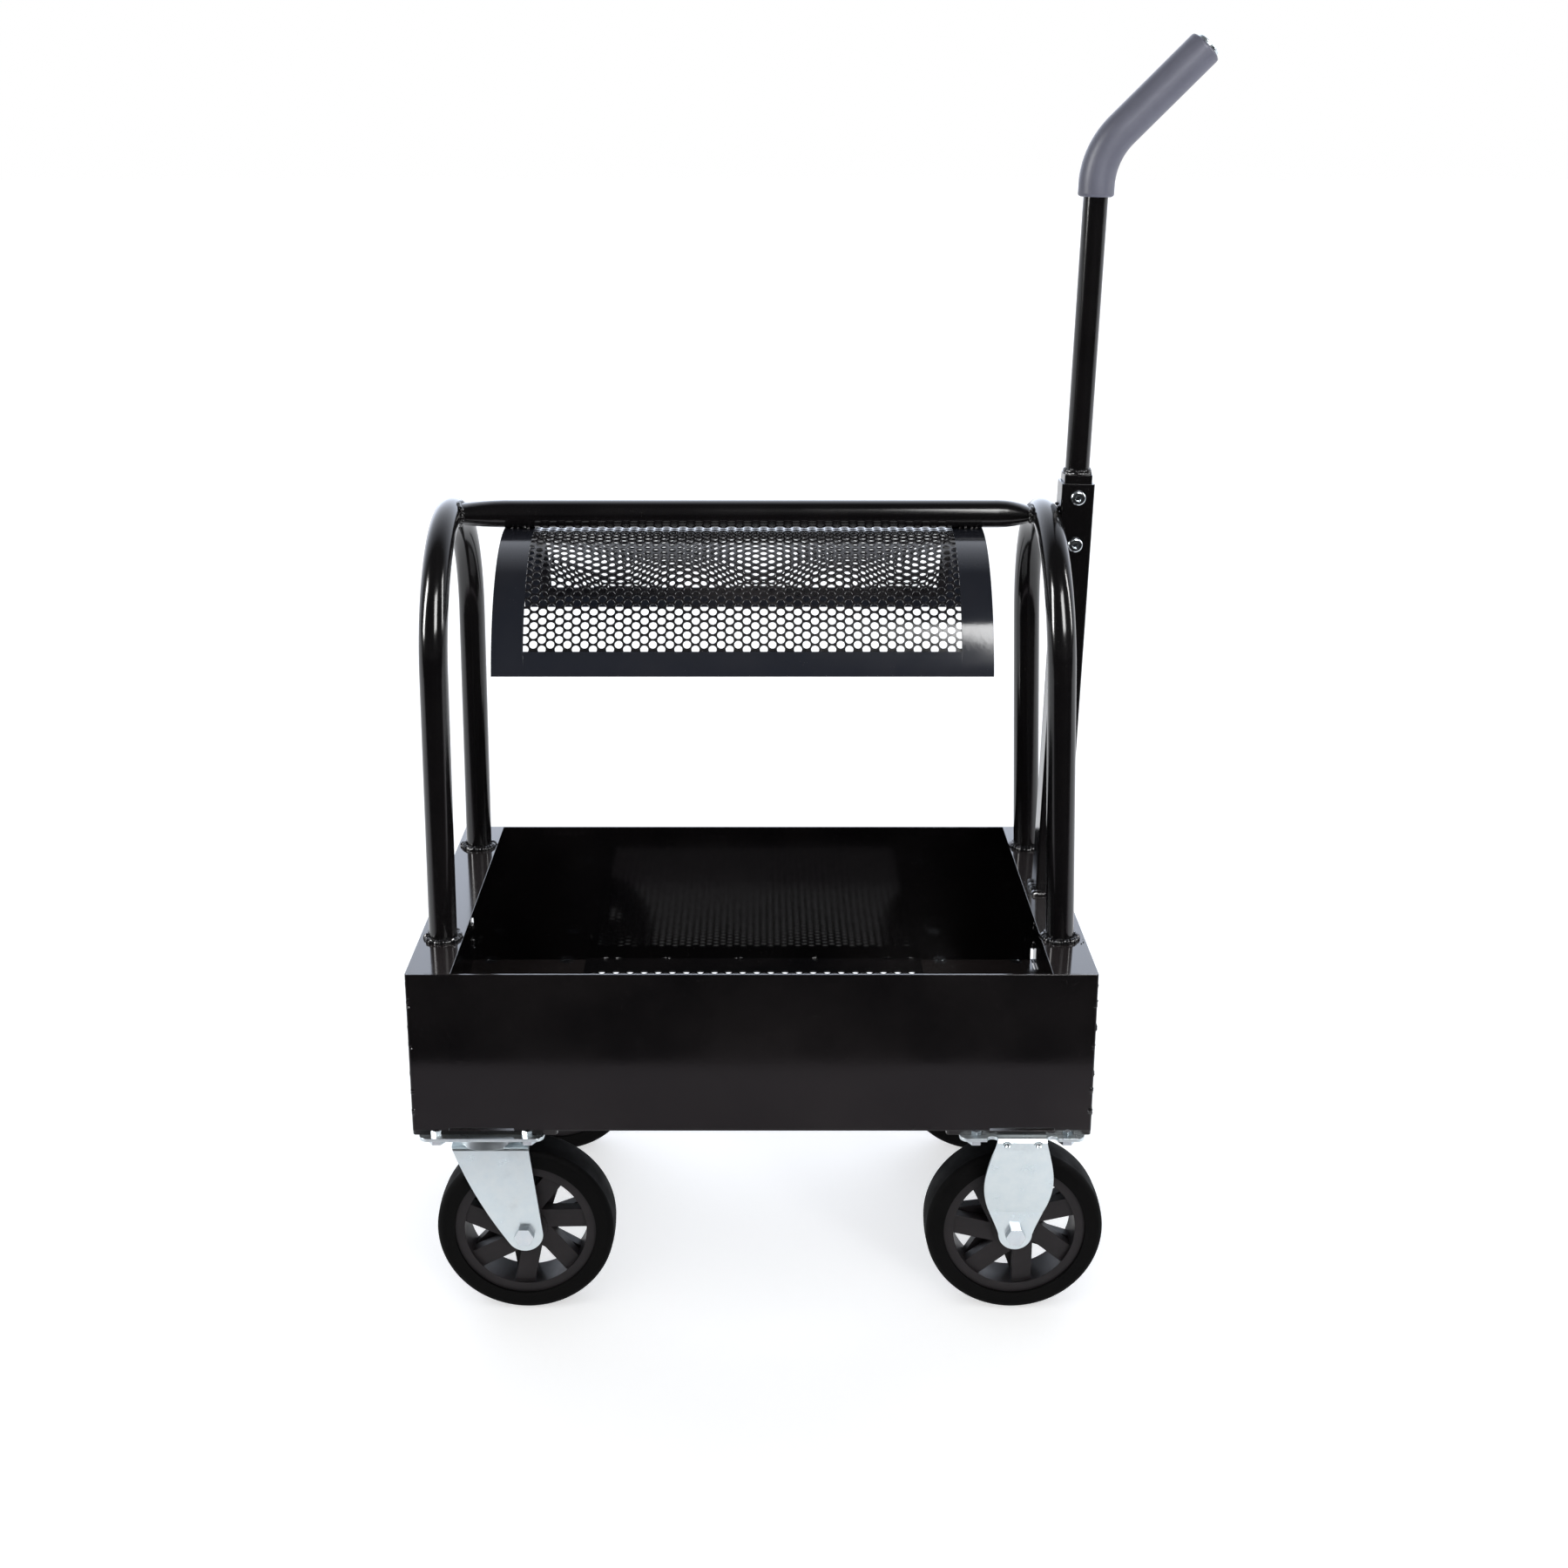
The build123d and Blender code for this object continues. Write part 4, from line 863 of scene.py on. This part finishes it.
def grip_line():
    """Centre-line points of the grip with the direction at each, about a millimetre apart."""
    start = corner - up_tube * BELOW_CORNER
    end = corner + up_grip * REACH
    line = []
    first = (bend_from - start).length
    for k in range(int(first / MM)):
        line.append((start + up_tube * (k * MM), up_tube))
    steps = int(BEND_RADIUS * (GRIP_ANGLE - LEAN) / MM)
    for k in range(steps):
        turn = LEAN + (GRIP_ANGLE - LEAN) * k / steps
        line.append((bend_centre - Vector((math.cos(turn), 0, -math.sin(turn))) * BEND_RADIUS,
                     Vector((math.sin(turn), 0, math.cos(turn)))))
    last = (end - bend_to).length
    count = int(last / MM)
    for k in range(count + 1):
        line.append((bend_to + up_grip * (last * k / count), up_grip))
    return line


def grip_ring(bm, centre, along, radius):
    """One ring of the grip, a little dented, in the bore only inwards."""
    other = ALONG_Y.cross(along).normalized()
    in_bore = radius < GRIP_BORE + MM
    ring = []
    for k in range(GRIP_SIDES):
        turn = 2 * math.pi * k / GRIP_SIDES
        out = other * math.cos(turn) + ALONG_Y * math.sin(turn)
        p = centre + out * radius
        dent = DENT * noise.noise(p * DENT_SCALE)
        if in_bore:
            dent = min(dent, 0.0)
        ring.append(bm.verts.new(inside_box(p + out * dent)))
    return ring


def grip_mesh():
    """A closed sleeve: rings along the outside with rounded ends, then back through the bore."""
    line = grip_line()
    total = len(line) - 1
    bm = bmesh.new()
    rings = []
    for i, (centre, along) in enumerate(line):
        to_go = max(0.0, END_ROUND - min(i, total - i))
        curve = END_ROUND - math.sqrt(END_ROUND ** 2 - to_go ** 2)
        radius = GRIP_RADIUS - GRIP_SHY - curve * END_ROUND_DEPTH
        rings.append(grip_ring(bm, centre, along, radius))
    bore_line = line[:-1:BORE_STEP] + line[-1:]
    rings += [grip_ring(bm, centre, along, GRIP_BORE) for centre, along in reversed(bore_line)]
    for a, b in zip(rings, rings[1:] + rings[:1]):
        for k in range(GRIP_SIDES):
            n = (k + 1) % GRIP_SIDES
            bm.faces.new((a[k], a[n], b[n], b[k]))
    return bm


grip = piece_from_bmesh("handle_foam_grip", grip_mesh(), foam, degrees=50.0)
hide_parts("handle_grip")


# === stage, lights and camera =================================================================
STAGE_HALF = 40.0
CARD_LIFT = 2.0 * MM
CARD_NEAR = TRAY_FRONT - 0.33  # the grey card starts here, in front of the tray
CARD_TURN = TRAY_FRONT - 0.53  # and gives way to the dark one here


def plain_material(name, colour, rough, glow=0.0):
    f = Finish(name, colour, specular=0.1)
    f.shader.inputs["Emission Color"].default_value = (1.0, 1.0, 1.0, 1.0)
    f.shader.inputs["Emission Strength"].default_value = glow
    f.roughness(f.ranged(f.noise(3.0), 0.3, 0.7, rough, rough + 0.05))
    return f.done()


def level_sheet(name, front_y, back_y, z, material):
    """A stage piece: a level rectangle over the stage's whole width."""
    mesh = bpy.data.meshes.new(name)
    corners = [
        (-STAGE_HALF, front_y, z),
        (STAGE_HALF, front_y, z),
        (STAGE_HALF, back_y, z),
        (-STAGE_HALF, back_y, z),
    ]
    mesh.from_pydata(corners, [], [(0, 1, 2, 3)])
    mesh.materials.append(material)
    sheet = bpy.data.objects.new(name, mesh)
    bpy.context.scene.collection.objects.link(sheet)
    return sheet


def floor_card(name, front_y, back_y, colour):
    """A card on the studio floor that only the paint's reflections see."""
    card = level_sheet(name, front_y, back_y, CARD_LIFT, plain_material(name, colour, 0.9))
    card.visible_camera = False
    card.visible_diffuse = False
    card.visible_shadow = False


def softbox(name, location, target, width, height, power, spreads=True, shines=True):
    """An area lamp. One that doesn't spread only makes highlights, one that doesn't shine makes none."""
    data = bpy.data.lights.new(name, "AREA")
    data.shape = "RECTANGLE"
    data.size = width
    data.size_y = height
    data.energy = power
    lamp = bpy.data.objects.new(name, data)
    bpy.context.scene.collection.objects.link(lamp)
    lamp.location = location
    lamp.rotation_euler = (Vector(target) - Vector(location)).to_track_quat("-Z", "Y").to_euler()
    lamp.visible_camera = False
    lamp.visible_diffuse = spreads
    lamp.visible_glossy = shines


level_sheet("studio_floor", -STAGE_HALF, STAGE_HALF, 0.0,
            plain_material("studio_floor", (0.72, 0.72, 0.72), 0.85, glow=0.55))

softbox("softbox_left", (-2.9, -0.9, 1.9), (0.0, 0.0, 0.6), width=0.60, height=1.9, power=130,
        spreads=False)
softbox("softbox_right", (2.9, -0.2, 1.9), (0.0, 0.0, 0.6), width=0.34, height=1.9, power=45,
        spreads=False)
softbox("softbox_front", (1.38, -2.3, 0.62), (0.3, 0.0, 1.1), width=0.5, height=1.0, power=30,
        shines=False)
softbox("softbox_high", (0.95, -2.3, 2.35), (0.0, 0.0, 0.9), width=1.0, height=1.6, power=85,
        spreads=False)

sun_data = bpy.data.lights.new("overhead_sun", "SUN")
sun_data.energy = 1.2
sun_data.angle = math.radians(70)
sun = bpy.data.objects.new("overhead_sun", sun_data)
bpy.context.scene.collection.objects.link(sun)
sun.visible_glossy = False
sun.rotation_euler = (math.radians(30), math.radians(-6), 0)

floor_card("studio_card_dark", -STAGE_HALF, CARD_TURN, (0.004, 0.004, 0.004))
floor_card("studio_card_grey", CARD_TURN, CARD_NEAR, (0.50, 0.44, 0.46))

# The surroundings are dark in front of the rack and bright behind it, and plain white to the camera.
# Each stop is a place from the front, 0, to the back, 1, with its colour.
AROUND = (
    (0.56, (0.03, 0.031, 0.033, 1.0)),
    (0.88, (0.90, 0.95, 1.06, 1.0)),
    (0.97, (1.12, 1.22, 1.42, 1.0)),
)
AROUND_STRENGTH = 2.0
WHITE = (1.0, 1.0, 1.0, 1.0)

world = bpy.data.worlds.new("studio")
bpy.context.scene.world = world
world.use_nodes = True
tree = world.node_tree
background = tree.nodes["Background"]
coords = tree.nodes.new("ShaderNodeTexCoord")
split_xyz = tree.nodes.new("ShaderNodeSeparateXYZ")
tree.links.new(coords.outputs["Generated"], split_xyz.inputs[0])
span = tree.nodes.new("ShaderNodeMapRange")
span.inputs["From Min"].default_value = -1.0
span.inputs["From Max"].default_value = 1.0
tree.links.new(split_xyz.outputs["Y"], span.inputs["Value"])
ramp = tree.nodes.new("ShaderNodeValToRGB")
tree.links.new(span.outputs["Result"], ramp.inputs["Fac"])
stops = ramp.color_ramp.elements
stops.new(AROUND[-1][0])  # a new ramp has two
for stop, (position, colour) in zip(stops, AROUND):
    stop.position = position
    stop.color = colour
seen = tree.nodes.new("ShaderNodeLightPath")
strength = tree.nodes.new("ShaderNodeMapRange")
strength.inputs["To Min"].default_value = AROUND_STRENGTH
strength.inputs["To Max"].default_value = 1.0
tree.links.new(seen.outputs["Is Camera Ray"], strength.inputs["Value"])
choose = tree.nodes.new("ShaderNodeMix")
choose.data_type = "RGBA"
tree.links.new(seen.outputs["Is Camera Ray"], choose.inputs["Factor"])
tree.links.new(ramp.outputs["Color"], choose.inputs[MIX_COLOUR_A])
choose.inputs[MIX_COLOUR_B].default_value = WHITE
tree.links.new(choose.outputs[MIX_COLOUR_RESULT], background.inputs["Color"])
tree.links.new(strength.outputs["Result"], background.inputs["Strength"])
bpy.context.scene.view_settings.view_transform = "Standard"

CAMERA_RIGHT = 0.0082
CAMERA_AWAY = 1.616
CAMERA_ABOVE = 0.715
CAMERA_DOWN = 16.4

camera_data = bpy.data.cameras.new("camera")
camera_data.sensor_width = 36.0
camera_data.lens = 45.84
camera_data.shift_x = 0.0147
camera_data.shift_y = -0.0452
camera_data.clip_end = 100.0
camera = bpy.data.objects.new("camera", camera_data)
bpy.context.scene.collection.objects.link(camera)
camera.location = (TRAY_X + CAMERA_RIGHT, TRAY_FRONT - CAMERA_AWAY, TRAY_TOP + CAMERA_ABOVE)
camera.rotation_euler = (math.radians(90 - CAMERA_DOWN), 0.0, 0.0)
bpy.context.scene.camera = camera
